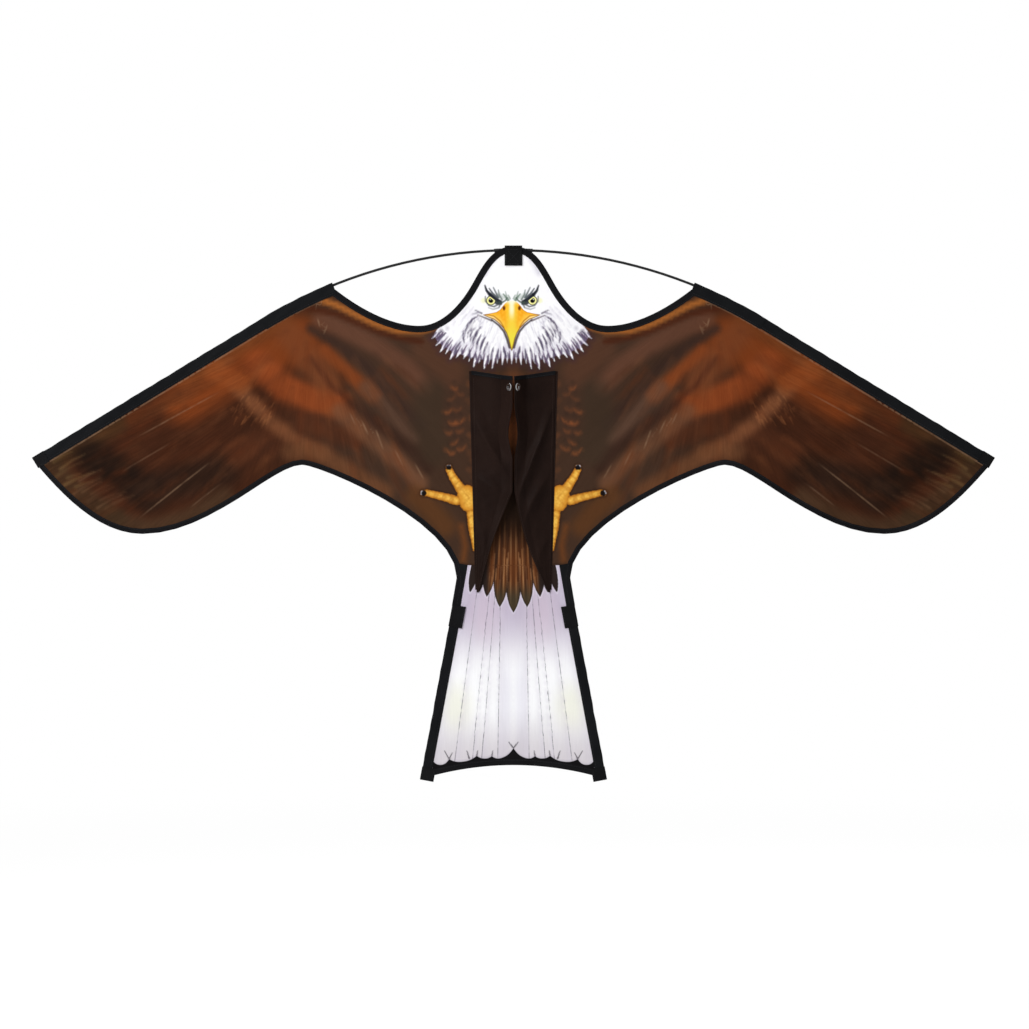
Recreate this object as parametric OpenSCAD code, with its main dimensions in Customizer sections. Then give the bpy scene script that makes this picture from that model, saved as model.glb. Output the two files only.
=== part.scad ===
// Raptor-shaped kite for scaring birds. A printed cloth sail is held open by a
// bowed spar in two leading sleeves and by two rods in tail sleeves. Two keel
// flaps on the front carry the tow eyelets.
// Millimetres. X runs along the wings, Y from front to back, Z towards the head.
// The origin is the tow point, midway between the two keel eyelets.

/* [Wings] */
// Half of the wingspan, from the middle to a wing tip
half_span = 550; // [480:1:640]
// Radius of the bow that the spar makes over the head
bow_r = 550; // [500:1:620]
// Sweep of the straight outer leading edge below level, in degrees
wing_sweep = 31.3; // [28:0.1:34]
// Height of the spar's crown above the tow point
crown_z = 157; // [145:0.5:175]
// Distance from the middle to the inner end of a leading sleeve
sleeve_start_x = 206; // [185:1:225]
// Distance from the middle to the lowest point of a wing's trailing lobe
lobe_x = 424; // [390:1:450]
// Drop of that lobe below the tow point
lobe_drop = 167; // [150:1:185]
// Distance from the middle to the notch behind a wing
notch_x = 241; // [220:1:260]
// Drop of that notch below the tow point
notch_drop = 88; // [75:1:100]
// Steepness of the trailing edge where it leaves the tip, in degrees
tip_fall = 49.5; // [40:0.5:58]

/* [Head] */
// Rise of the rounded head above the crown of the spar
head_rise = 4; // [3:0.1:8]
// Half width of the head at the middle of the neck's slope
cheek_x = 46; // [38:0.5:56]
// Height of that place above the tow point
cheek_z = 119; // [110:0.5:128]
// Slope of the neck there, from upright, in degrees
cheek_lean = 29; // [22:0.5:36]
// Distance from the middle to the lowest point of a shoulder
trough_x = 108; // [98:0.5:120]
// Height of that place above the tow point
trough_z = 70; // [60:0.5:80]
// Slope of the shoulder where it reaches the sleeve, in degrees
shoulder_lean = 38; // [30:0.5:46]

/* [Body and tail] */
// Half width of the waist between the wings and the tail
waist_x = 64.5; // [56:0.5:72]
// Drop of the seam between the body and tail panels below the tow point
tail_seam_drop = 203; // [190:1:215]
// Fall from that seam to the waist
waist_fall = 14; // [8:0.5:24]
// Half width of the tail at the top of its sleeves
tail_top_x = 69; // [66:0.5:74]
// Fall from the waist to the tops of the tail sleeves
tail_top_fall = 31; // [22:0.5:40]
// Half width of the tail at the bottom of its sleeves
tail_end_x = 106; // [92:0.5:118]
// Drop of the bottoms of the tail sleeves below the tow point
tail_end_drop = 447; // [420:1:480]
// Rise of the middle of the tail hem above its corners
hem_rise = 16; // [10:0.5:24]

/* [Cloth and tape] */
// Thickness of the sail cloth
sail_t = 0.3; // [0.2:0.05:0.5]
// Thickness of one layer of edging tape
tape_t = 0.35; // [0.25:0.05:0.5]
// Width of the tape around the head and shoulders
head_tape_w = 8; // [6:0.5:10]
// Width of the tape along the trailing edges
edge_tape_w = 6; // [5:0.5:9]
// Width of the tape along the tail hem
hem_tape_w = 6.5; // [5:0.5:9]
// Width of the tape behind the tail seam
seam_tape_w = 8; // [5:0.5:12]
// Thickness of the webbing of tabs and pockets
web_t = 0.8; // [0.5:0.1:1.2]

/* [Rods and sleeves] */
// Diameter of the spar
spar_d = 3; // [2.5:0.1:4]
// Diameter of a tail rod
tail_rod_d = 2; // [1.6:0.1:2.6]
// Clearance around a rod
rod_clear = 0.3; // [0.25:0.05:0.5]
// Thickness of the sleeve cloth around a rod
sleeve_wall = 0.45; // [0.3:0.05:0.7]
// Width of a leading sleeve
lead_sleeve_w = 12.5; // [11:0.5:16]
// Width of a tail sleeve
tail_sleeve_w = 11; // [9.5:0.5:14]
// Depth of sail sewn into a sleeve
seam_w = 4.5; // [3:0.5:5.5]
// Length of the ferrule that joins the two halves of the spar
ferrule_l = 44; // [30:1:60]
// Wall of the ferrule
ferrule_wall = 0.6; // [0.4:0.1:1]
// Length of the cap at each tip of the spar
spar_cap_l = 5; // [3:0.5:8]
// Height of a tail rod above the top of its sleeve
tail_rod_proud = 9; // [7:0.5:14]
// Length of the cap at the top of a tail rod
rod_cap_l = 7; // [5:0.5:9]
// Wall of that cap
rod_cap_wall = 0.5; // [0.4:0.1:0.8]
// Clearance between pieces that are fixed to each other
fit_clear = 0.1; // [0.05:0.05:0.2]

/* [Tabs and pockets] */
// Width of the head tab
tab_w = 20; // [14:0.5:26]
// Height of the head tab on the front
tab_h = 23; // [20:0.5:30]
// Length of a wing tip pocket
tip_pocket_l = 15; // [10:0.5:22]
// Length of a tail retainer
retainer_l = 25; // [18:0.5:32]
// Reach of a tail retainer past the sleeve
retainer_reach = 4; // [2:0.5:8]
// Length of a tail corner pocket
corner_pocket_l = 14; // [10:0.5:20]

/* [Keel] */
// Half distance between the keel seams at the top
keel_top_x = 48; // [42:0.5:56]
// Height of the top of the keel seams above the tow point
keel_top_z = 18.5; // [16:0.5:24]
// Half distance between the keel seams at the bottom
keel_end_x = 42; // [36:0.5:46]
// Drop of the bottom of the keel seams below the tow point
keel_end_drop = 234; // [215:1:250]
// Half of the gap between the free edges of the flaps
keel_gap = 1.2; // [0.8:0.1:3]
// Sag of the top edge of a flap towards its free corner
keel_sag = 7; // [4:0.5:8]
// Width left at the bottom end of a flap
keel_toe = 4; // [2:0.5:8]
// Lift of the flaps off the sail
keel_lift = 4; // [2:0.5:8]
// Height that the free edge stands up at the tow point
keel_ramp = 18; // [12:0.5:24]
// Height of the diagonal crease in a flap
crease_h = 3; // [0:0.5:5]
// Thickness of the flap cloth
flap_t = 0.5; // [0.3:0.05:0.8]
// Width of the hem along the top of a flap
flap_hem_w = 4; // [3:0.5:5]
// Width of the strip that sews a flap to the sail
keel_strip_w = 6; // [4:0.5:10]
// Bore of a tow eyelet
eyelet_bore_d = 5; // [4:0.1:5.5]
// Wall of the barrel of a tow eyelet
eyelet_wall = 0.4; // [0.3:0.05:0.6]
// Diameter of the flange of a tow eyelet
eyelet_flange_d = 9; // [8:0.1:9.5]
// Thickness of the flange and of the washer
eyelet_plate = 0.5; // [0.4:0.05:0.8]
// Distance from the middle to the axis of a tow eyelet
eyelet_x = 5; // [4.6:0.1:6.5]

/* [Hidden] */
$fn = 48;
bow_fn = 540;
round_fn = 48;

sail_colour = [0.30, 0.19, 0.13];
tail_colour = [0.88, 0.86, 0.90];
tape_colour = [0.08, 0.08, 0.09];
rod_colour = [0.12, 0.12, 0.13];
flap_colour = [0.16, 0.10, 0.08];
metal_colour = [0.75, 0.76, 0.78];

quarter_turn = 90;
half_turn = 180;
full_turn = 360;
curve_steps = 12;
arc_step = 1.5;
nose_steps = 8;

// Shares of a span that place the handles of the outline curves
crown_share = 0.5;
brow_share = 0.61;
nape_share = 0.56;
trough_in_share = 0.44;
trough_out_share = 0.34;
shoulder_share = 0.36;
tip_share = 0.34;
lobe_out_share = 0.42;
lobe_in_share = 0.43;
notch_out_share = 0.19;
notch_in_share = 0.1;
waist_up_share = 0.5;
waist_down_share = 0.45;
tail_share = 0.33;

half_sail = sail_t / 2;
half_stack = half_sail + tape_t;
ferrule_r = spar_d / 2 + fit_clear + ferrule_wall;
spar_y = half_stack + rod_clear + ferrule_r;
lead_bore_r = spar_d / 2 + rod_clear;
lead_out = lead_bore_r + sleeve_wall;
lead_in = lead_sleeve_w - lead_out;
lead_edge = lead_in - seam_w;
tail_bore_r = tail_rod_d / 2 + rod_clear;
tail_tube_r = tail_bore_r + sleeve_wall;
rod_cap_r = tail_rod_d / 2 + fit_clear + rod_cap_wall;
tail_rod_y = half_stack + rod_clear + max(rod_cap_r, tail_tube_r);
tail_edge = tail_sleeve_w - seam_w;

// The bow turns from its crown to the sweep of the wing, then runs straight
bow_z = crown_z - bow_r;
start_turn = asin(sleeve_start_x / bow_r);
edge_x = bow_r * sin(wing_sweep);
edge_z = bow_z + bow_r * cos(wing_sweep);
edge_out_dir = [cos(wing_sweep), -sin(wing_sweep)];
edge_normal = [sin(wing_sweep), cos(wing_sweep)];
tip_run = (half_span - edge_x - (lead_out + web_t) * sin(wing_sweep)) / cos(wing_sweep);
sleeve_run = tip_run - web_t;
cap_run = sleeve_run - rod_clear;
rod_run = cap_run - spar_cap_l;
ferrule_turn = ferrule_l / 2 / bow_r * half_turn / PI;
butt_turn = fit_clear / bow_r * half_turn / PI;
// The straight run of the spar is a hair thinner, so that it joins the bow cleanly
spar_step = fit_clear / 4;
spar_lap = spar_d / 2;

// The tail sleeves run straight from the waist to the hem
waist_drop = tail_seam_drop + waist_fall;
tail_top_drop = waist_drop + tail_top_fall;
tail_lean = atan2(tail_end_x - tail_top_x, tail_end_drop - tail_top_drop);
tail_dir = [sin(tail_lean), -cos(tail_lean)];
tail_normal = [cos(tail_lean), sin(tail_lean)];
tail_run = (tail_end_drop - tail_top_drop) / cos(tail_lean);
tail_top = [tail_top_x, -tail_top_drop];
hem_r = (tail_end_x * tail_end_x + hem_rise * hem_rise) / (2 * hem_rise);
hem_z = hem_rise - tail_end_drop - hem_r;
hem_reach = tail_end_x - tail_edge - web_t;
hem_turn = asin(hem_reach / hem_r);

// The keel flaps fold up near the middle and stand at the tow point
keel_stand = half_stack + rod_clear + flap_t / 2;
keel_length = keel_top_z + keel_end_drop;
fold_share = 0.72;
corner_share = 0.53;
flat_share = 0.09;
slack_share = 0.25;
crease_top_share = 0.22;
crease_end_share = 0.55;
crease_span_share = 0.09;
flap_rows = 26;
flap_columns = 11;
fold_column = 7;
tow_share = (keel_top_z - keel_sag) / (keel_length - keel_sag);
tow_seam_x = keel_top_x + tow_share * (keel_end_x - keel_top_x);
ramp_x = keel_gap + (tow_seam_x - keel_gap) * (1 - fold_share);
ramp_turn = atan2(keel_ramp, ramp_x - keel_gap);
tow_stand = keel_stand + keel_lift + keel_ramp * (ramp_x - eyelet_x) / (ramp_x - keel_gap);
flap_half = flap_t / 2 * cos(ramp_turn) + fit_clear;
barrel_r = eyelet_bore_d / 2 + eyelet_wall;
eyelet_front = flap_half + eyelet_plate;
eyelet_back = flap_half + eyelet_plate + fit_clear + eyelet_wall;

function bend(a, b, c, d) = [
  for (i = [0 : curve_steps])
    let (t = i / curve_steps, s = 1 - t)
    s * s * s * a + 3 * s * s * t * b + 3 * s * t * t * c + t * t * t * d
];
function rest(v) = [for (i = [1 : len(v) - 1]) v[i]];
function flipped(v) = [for (i = [len(v) - 1 : -1 : 0]) v[i]];
function mirrored(v) = [for (p = flipped(v)) [-p[0], p[1]]];
function unit(v) = v / norm(v);
function side_of(v, i) =
  let (d = unit(v[min(i + 1, len(v) - 1)] - v[max(i - 1, 0)]))
  [-d[1], d[0]];
function shifted(v, k) = [for (i = [0 : len(v) - 1]) v[i] + k * side_of(v, i)];
function band(v, out, inward) = concat(shifted(v, out), flipped(shifted(v, -inward)));
function edge_point(run, out) = [edge_x, edge_z] + run * edge_out_dir + out * edge_normal;
function tail_point(run, out) = tail_top + run * tail_dir + out * tail_normal;
function bow_point(turn, out) = [(bow_r + out) * sin(turn), bow_z + (bow_r + out) * cos(turn)];

head_top = [0, crown_z + head_rise];
cheek = [cheek_x, cheek_z];
cheek_dir = [sin(cheek_lean), -cos(cheek_lean)];
trough = [trough_x, trough_z];
shoulder = bow_point(start_turn, -lead_edge);
shoulder_dir = [cos(shoulder_lean), sin(shoulder_lean)];
neck_line = concat(
  bend(head_top, head_top + [crown_share * cheek_x, 0],
    cheek - brow_share * (head_top[1] - cheek_z) * cheek_dir, cheek),
  rest(bend(cheek, cheek + nape_share * (cheek_z - trough_z) * cheek_dir,
    trough - [trough_in_share * (trough_x - cheek_x), 0], trough)),
  rest(bend(trough, trough + [trough_out_share * (shoulder[0] - trough_x), 0],
    shoulder - shoulder_share * (shoulder[0] - trough_x) * shoulder_dir, shoulder))
);

arc_steps = ceil((wing_sweep - start_turn) / arc_step);
tip = edge_point(sleeve_run, -lead_edge);
lead_line = concat(
  [for (i = [0 : arc_steps])
    bow_point(start_turn + i / arc_steps * (wing_sweep - start_turn), -lead_edge)],
  [tip]
);

tip_dir = [-cos(tip_fall), -sin(tip_fall)];
lobe = [lobe_x, -lobe_drop];
notch = [notch_x, -notch_drop];
waist = [waist_x, -waist_drop];
trail_line = concat(
  bend(tip, tip + tip_share * (tip[0] - lobe_x) * tip_dir,
    lobe + [lobe_out_share * (tip[0] - lobe_x), 0], lobe),
  rest(bend(lobe, lobe - [lobe_in_share * (lobe_x - notch_x), 0],
    notch + [notch_out_share * (lobe_x - notch_x), 0], notch)),
  rest(bend(notch, notch - [notch_in_share * (notch_x - waist_x), 0],
    waist + [0, waist_up_share * (waist_drop - notch_drop)], waist)),
  rest(bend(waist, waist - [0, waist_down_share * (tail_top_drop - waist_drop)],
    tail_top - tail_share * (tail_top_drop - waist_drop) * tail_dir, tail_top))
);

tail_line = [tail_point(0, -tail_edge), tail_point(tail_run - web_t * 4, -tail_edge)];
hem_line = [
  for (i = [curve_steps : -1 : 0])
    let (a = hem_turn * i / curve_steps)
    [hem_r * sin(a), hem_z + hem_r * cos(a)]
];
right_line = concat(neck_line, rest(lead_line), rest(trail_line), tail_line, hem_line);
sail_line = concat(right_line, [for (i = [len(right_line) - 2 : -1 : 1]) [-right_line[i][0], right_line[i][1]]]);

// Section of a sleeve: n points outward from the sail, y points to the back
function sleeve_section(out, inward, tube_n, tube_y, tube_r, flat_n, half) =
  let (
    dn = flat_n - tube_n,
    dy = half - tube_y,
    turn = atan2(dy, dn) + full_turn - acos(tube_r / norm([dn, dy]))
  )
  concat(
    [[-inward, -half], [out, -half]],
    [for (i = [0 : nose_steps])
      let (a = turn * i / nose_steps)
      [tube_n + tube_r * cos(a), tube_y + tube_r * sin(a)]],
    [[flat_n, half], [-inward, half]]
  );
lead_section = sleeve_section(lead_out, lead_in, 0, spar_y, lead_out, -lead_edge, half_stack);
lead_wrap = sleeve_section(lead_out + web_t, lead_in + web_t, 0, spar_y, lead_out + web_t,
  -lead_edge, half_stack + web_t);
tail_section = sleeve_section(0, tail_sleeve_w, -tail_tube_r, tail_rod_y, tail_tube_r,
  -tail_edge, half_stack);
tail_wrap = sleeve_section(web_t, tail_sleeve_w + retainer_reach, -tail_tube_r, tail_rod_y,
  tail_tube_r + web_t, -tail_edge, half_stack + web_t);

module framed() {
  translate([0, tow_stand, 0]) children();
}
module flip_x() {
  mirror([1, 0, 0]) children();
}
module slab(front, back) {
  translate([0, back, 0]) rotate([quarter_turn, 0, 0]) linear_extrude(back - front) children();
}
module across(width) {
  translate([-width / 2, 0, 0]) rotate([quarter_turn, 0, quarter_turn])
    linear_extrude(width) children();
}
// The swept modules take a section whose x points outward and y to the back
module along_bow(from, to) {
  translate([0, 0, bow_z]) rotate([-quarter_turn, 0, 0]) rotate([0, 0, from - quarter_turn])
    rotate_extrude(angle = to - from, $fn = bow_fn) translate([bow_r, 0]) children();
}
module along_edge(from, to) {
  p = edge_point(to, 0);
  translate([p[0], 0, p[1]]) rotate([0, wing_sweep - quarter_turn, 0])
    linear_extrude(to - from) children();
}
module along_tail(from, to) {
  p = tail_point(to, 0);
  translate([p[0], 0, p[1]]) rotate([0, -tail_lean, 0]) linear_extrude(to - from) children();
}
module strip_box(n_from, n_to, y_from, y_to) {
  translate([n_from, y_from]) square([n_to - n_from, y_to - y_from]);
}

// Room that the leading sleeve and the tip pocket take up, cut from the tapes
module lead_room() {
  depth = spar_y + 2 * lead_out;
  along_bow(start_turn, wing_sweep) strip_box(-lead_in, lead_out, -depth, depth);
  along_edge(0, tip_run) strip_box(-lead_in, lead_out, -depth, depth);
  along_edge(tip_run - tip_pocket_l, tip_run + tip_pocket_l)
    strip_box(-lead_in - web_t, lead_out + web_t, -depth, depth);
}
// Room that the tail sleeve, retainer and corner pocket take up
module tail_room() {
  depth = tail_rod_y + 2 * tail_tube_r;
  along_tail(0, tail_run) strip_box(-tail_sleeve_w, tail_sleeve_w, -depth, depth);
  along_tail(tail_run - corner_pocket_l, tail_run + corner_pocket_l)
    strip_box(-tail_sleeve_w - retainer_reach, tail_sleeve_w, -depth, depth);
}
module edging(line, width) {
  difference() {
    slab(-half_stack, half_stack) polygon(band(line, tape_t, width));
    slab(-half_sail, half_sail) polygon(band(line, 0, 2 * width));
  }
}

module sail_sheet() {
  slab(-half_sail, half_sail) polygon(sail_line);
}
module body_panel() {
  color(sail_colour) framed() intersection() {
    sail_sheet();
    translate([-half_span, -half_span, -tail_seam_drop]) cube(2 * half_span);
  }
}
module tail_panel() {
  color(tail_colour) framed() intersection() {
    sail_sheet();
    translate([-half_span, -half_span, -tail_seam_drop - 2 * half_span]) cube(2 * half_span);
  }
}
module tail_seam_tape() {
  reach = waist_x - edge_tape_w - tape_t;
  color(tape_colour) framed() slab(half_sail, half_stack)
    translate([-reach, -tail_seam_drop - seam_tape_w / 2]) square([2 * reach, seam_tape_w]);
}
module head_binding() {
  line = concat(mirrored(rest(neck_line)), neck_line);
  color(tape_colour) framed() difference() {
    edging(line, head_tape_w);
    lead_room();
    flip_x() lead_room();
  }
}
module trailing_binding() {
  framed() difference() {
    edging(trail_line, edge_tape_w);
    lead_room();
    tail_room();
  }
}
module trailing_binding_right() {
  color(tape_colour) trailing_binding();
}
module trailing_binding_left() {
  color(tape_colour) flip_x() trailing_binding();
}
module tail_hem() {
  line = concat(hem_line, mirrored([for (i = [0 : len(hem_line) - 2]) hem_line[i]]));
  color(tape_colour) framed() difference() {
    edging(line, hem_tape_w);
    tail_room();
    flip_x() tail_room();
  }
}

module leading_cuff() {
  framed() difference() {
    along_bow(start_turn, wing_sweep) polygon(lead_section);
    along_bow(start_turn - arc_step, wing_sweep + arc_step)
      translate([0, spar_y]) circle(lead_bore_r, $fn = round_fn);
    along_bow(start_turn - arc_step, wing_sweep + arc_step)
      strip_box(-2 * lead_in, -lead_edge, -half_sail, half_sail);
  }
}
module leading_cuff_right() {
  color(tape_colour) leading_cuff();
}
module leading_cuff_left() {
  color(tape_colour) flip_x() leading_cuff();
}
module leading_sleeve() {
  framed() difference() {
    along_edge(0, sleeve_run) polygon(lead_section);
    along_edge(-web_t, tip_run) translate([0, spar_y]) circle(lead_bore_r);
    along_edge(-web_t, tip_run) strip_box(-2 * lead_in, -lead_edge, -half_sail, half_sail);
  }
}
module leading_sleeve_right() {
  color(tape_colour) leading_sleeve();
}
module leading_sleeve_left() {
  color(tape_colour) flip_x() leading_sleeve();
}
module wing_tip_pocket() {
  framed() difference() {
    along_edge(tip_run - tip_pocket_l, tip_run) polygon(lead_wrap);
    along_edge(0, sleeve_run) polygon(lead_section);
    along_edge(0, sleeve_run) translate([0, spar_y]) circle(lead_bore_r, $fn = round_fn);
    along_edge(0, sleeve_run) strip_box(-2 * lead_in, -lead_edge, -half_sail, half_sail);
  }
}
module wing_tip_pocket_right() {
  color(tape_colour) wing_tip_pocket();
}
module wing_tip_pocket_left() {
  color(tape_colour) flip_x() wing_tip_pocket();
}
module spar_half() {
  framed() union() {
    along_bow(butt_turn, wing_sweep) translate([0, spar_y]) circle(spar_d / 2, $fn = round_fn);
    along_edge(-spar_lap, rod_run) translate([0, spar_y]) circle(spar_d / 2 - spar_step);
  }
}
module spar_right() {
  color(rod_colour) spar_half();
}
module spar_left() {
  color(rod_colour) flip_x() spar_half();
}
module spar_ferrule() {
  color(metal_colour) framed() difference() {
    along_bow(-ferrule_turn, ferrule_turn) translate([0, spar_y]) circle(ferrule_r, $fn = round_fn);
    along_bow(-2 * ferrule_turn, 2 * ferrule_turn)
      translate([0, spar_y]) circle(spar_d / 2 + fit_clear, $fn = round_fn);
  }
}
module spar_cap() {
  framed() along_edge(rod_run, cap_run) translate([0, spar_y]) circle(lead_bore_r - fit_clear);
}
module spar_cap_right() {
  color(rod_colour) spar_cap();
}
module spar_cap_left() {
  color(rod_colour) flip_x() spar_cap();
}

// The head tab folds over the head's top and loops around the spar behind it
module head_tab() {
  top = head_top[1] + tape_t;
  low = top + web_t - tab_h;
  back = spar_y + ferrule_r + rod_clear;
  knee = crown_z - ferrule_r - rod_clear;
  foot = knee - back;
  front = half_stack + web_t;
  color(tape_colour) framed() difference() {
    across(tab_w) polygon([[-front, low], [-front, top + web_t], [back + web_t, top + web_t],
      [back + web_t, knee], [front, foot], [front, low]]);
    across(2 * tab_w) polygon([[-half_stack, low - tab_h], [-half_stack, top], [back, top],
      [back, knee], [half_stack, foot], [half_stack, low - tab_h]]);
  }
}

module tail_sleeve() {
  framed() difference() {
    along_tail(0, tail_run) polygon(tail_section);
    along_tail(-tail_sleeve_w, 2 * tail_run) translate([-tail_tube_r, tail_rod_y])
      circle(tail_bore_r);
    along_tail(-tail_sleeve_w, 2 * tail_run)
      strip_box(-2 * tail_sleeve_w, -tail_edge, -half_sail, half_sail);
  }
}
module tail_sleeve_right() {
  color(tape_colour) tail_sleeve();
}
module tail_sleeve_left() {
  color(tape_colour) flip_x() tail_sleeve();
}
module tail_retainer() {
  framed() difference() {
    along_tail(0, retainer_l) polygon(tail_wrap);
    along_tail(-tail_sleeve_w, 2 * retainer_l) polygon(tail_section);
    along_tail(-tail_sleeve_w, 2 * retainer_l)
      strip_box(-3 * tail_sleeve_w, -tail_edge, -half_sail, half_sail);
  }
}
module tail_retainer_right() {
  color(tape_colour) tail_retainer();
}
module tail_retainer_left() {
  color(tape_colour) flip_x() tail_retainer();
}
module tail_corner() {
  framed() difference() {
    along_tail(tail_run - corner_pocket_l, tail_run + web_t) polygon(tail_wrap);
    along_tail(0, tail_run) polygon(tail_section);
    along_tail(0, tail_run) strip_box(-3 * tail_sleeve_w, -tail_edge, -half_sail, half_sail);
  }
}
module tail_corner_right() {
  color(tape_colour) tail_corner();
}
module tail_corner_left() {
  color(tape_colour) flip_x() tail_corner();
}
module tail_rod() {
  framed() along_tail(-tail_rod_proud, tail_run - rod_clear)
    translate([-tail_tube_r, tail_rod_y]) circle(tail_rod_d / 2);
}
module tail_rod_right() {
  color(rod_colour) tail_rod();
}
module tail_rod_left() {
  color(rod_colour) flip_x() tail_rod();
}
module tail_rod_cap() {
  framed() difference() {
    along_tail(-tail_rod_proud - rod_cap_wall, rod_cap_l - tail_rod_proud)
      translate([-tail_tube_r, tail_rod_y]) circle(rod_cap_r);
    along_tail(-tail_rod_proud, rod_cap_l) translate([-tail_tube_r, tail_rod_y])
      circle(tail_rod_d / 2 + fit_clear);
  }
}
module tail_rod_cap_right() {
  color(rod_colour) tail_rod_cap();
}
module tail_rod_cap_left() {
  color(rod_colour) flip_x() tail_rod_cap();
}

module keel_strip() {
  half = keel_strip_w / 2;
  framed() slab(-half_stack, -half_sail) polygon([
    [keel_top_x - half, keel_top_z], [keel_top_x + half, keel_top_z],
    [keel_end_x + half, -keel_end_drop], [keel_end_x - half, -keel_end_drop]]);
}
module keel_strip_right() {
  color(flap_colour) keel_strip();
}
module keel_strip_left() {
  color(flap_colour) flip_x() keel_strip();
}

// Flap surface: u runs from the seam to the free edge, r from the top down
function eased(t) = let (s = min(max(t, 0), 1)) s * s * (3 - 2 * s);
function seam_x(r) = keel_top_x + r * (keel_end_x - keel_top_x);
function free_x(r) = keel_gap
  + max(0, (r - corner_share) / (1 - corner_share)) * (keel_end_x - keel_toe - keel_gap);
function wide_share(r) = (seam_x(r) - free_x(r)) / (seam_x(r) - keel_gap);
function ramp_share(r) = 1 - (1 - slack_share) * eased((r - flat_share) / (corner_share - flat_share));
function crease(u, r) =
  let (line = crease_top_share + u * (crease_end_share - crease_top_share))
  crease_h * max(0, 1 - abs(r - line) / crease_span_share) * sin(half_turn * u);
function flap_depth(u, r) = keel_stand + wide_share(r) * (
  keel_lift * (1 - cos(half_turn * min(u / fold_share, 1))) / 2
  + keel_ramp * ramp_share(r) * max(0, (u - fold_share) / (1 - fold_share))
  + crease(u, r));
function flap_z(u, r) = keel_top_z - r * keel_length - keel_sag * u * (1 - r);
function flap_u(j) = j <= fold_column
  ? fold_share * j / fold_column
  : fold_share + (1 - fold_share) * (j - fold_column) / (flap_columns - fold_column);
function flap_point(u, r, half) =
  [seam_x(r) + u * (free_x(r) - seam_x(r)), half - flap_depth(u, r), flap_z(u, r)];

// Cloth of the given half thickness between two shares of the flap's height
module flap_cloth(from, to, rows, half) {
  wide = flap_columns + 1;
  count = wide * (rows + 1);
  points = [for (side = [-half, half], i = [0 : rows], j = [0 : flap_columns])
    flap_point(flap_u(j), from + (to - from) * i / rows, side)];
  function at(s, i, j) = s * count + i * wide + j;
  quads = concat(
    [for (i = [0 : rows - 1], j = [0 : flap_columns - 1])
      [at(0, i, j), at(0, i + 1, j), at(0, i + 1, j + 1), at(0, i, j + 1)]],
    [for (i = [0 : rows - 1], j = [0 : flap_columns - 1])
      [at(1, i, j + 1), at(1, i + 1, j + 1), at(1, i + 1, j), at(1, i, j)]],
    [for (j = [0 : flap_columns - 1])
      [at(0, 0, j), at(0, 0, j + 1), at(1, 0, j + 1), at(1, 0, j)]],
    [for (j = [0 : flap_columns - 1])
      [at(0, rows, j + 1), at(0, rows, j), at(1, rows, j), at(1, rows, j + 1)]],
    [for (i = [0 : rows - 1])
      [at(0, i + 1, 0), at(0, i, 0), at(1, i, 0), at(1, i + 1, 0)]],
    [for (i = [0 : rows - 1])
      [at(0, i, flap_columns), at(0, i + 1, flap_columns),
        at(1, i + 1, flap_columns), at(1, i, flap_columns)]]
  );
  faces = [for (q = quads, k = [0, 1]) k == 0 ? [q[0], q[1], q[2]] : [q[0], q[2], q[3]]];
  polyhedron(points, faces);
}
module at_eyelet() {
  translate([eyelet_x, -tow_stand, 0]) rotate([quarter_turn, 0, ramp_turn]) children();
}
module keel_flap() {
  framed() difference() {
    flap_cloth(0, 1, flap_rows, flap_t / 2);
    at_eyelet() cylinder(h = eyelet_flange_d, r = barrel_r + fit_clear, center = true);
  }
}
module keel_flap_right() {
  color(flap_colour) keel_flap();
}
module keel_flap_left() {
  color(flap_colour) flip_x() keel_flap();
}
module keel_hem() {
  framed() difference() {
    flap_cloth(-tape_t / keel_length, flap_hem_w / keel_length, 1, flap_t / 2 + tape_t);
    flap_cloth(0, 2 * flap_hem_w / keel_length, 1, flap_t / 2);
    slab(-half_stack - fit_clear / 2, half_stack)
      translate([0, keel_top_z - keel_length]) square([2 * keel_top_x, 2 * keel_length]);
  }
}
module keel_hem_right() {
  color(tape_colour) keel_hem();
}
module keel_hem_left() {
  color(tape_colour) flip_x() keel_hem();
}
module keel_eyelet() {
  bore = eyelet_bore_d / 2;
  flange = eyelet_flange_d / 2;
  roll = barrel_r + eyelet_wall;
  framed() at_eyelet() rotate_extrude() polygon([
    [bore, -eyelet_back], [roll, -eyelet_back], [roll, eyelet_wall - eyelet_back],
    [barrel_r, eyelet_wall - eyelet_back], [barrel_r, flap_half], [flange, flap_half],
    [flange - eyelet_wall, eyelet_front], [bore, eyelet_front]]);
}
module keel_eyelet_right() {
  color(metal_colour) keel_eyelet();
}
module keel_eyelet_left() {
  color(metal_colour) flip_x() keel_eyelet();
}
module keel_washer() {
  framed() at_eyelet() rotate_extrude()
    strip_box(barrel_r + fit_clear, eyelet_flange_d / 2, -flap_half - eyelet_plate, -flap_half);
}
module keel_washer_right() {
  color(metal_colour) keel_washer();
}
module keel_washer_left() {
  color(metal_colour) flip_x() keel_washer();
}

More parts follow.
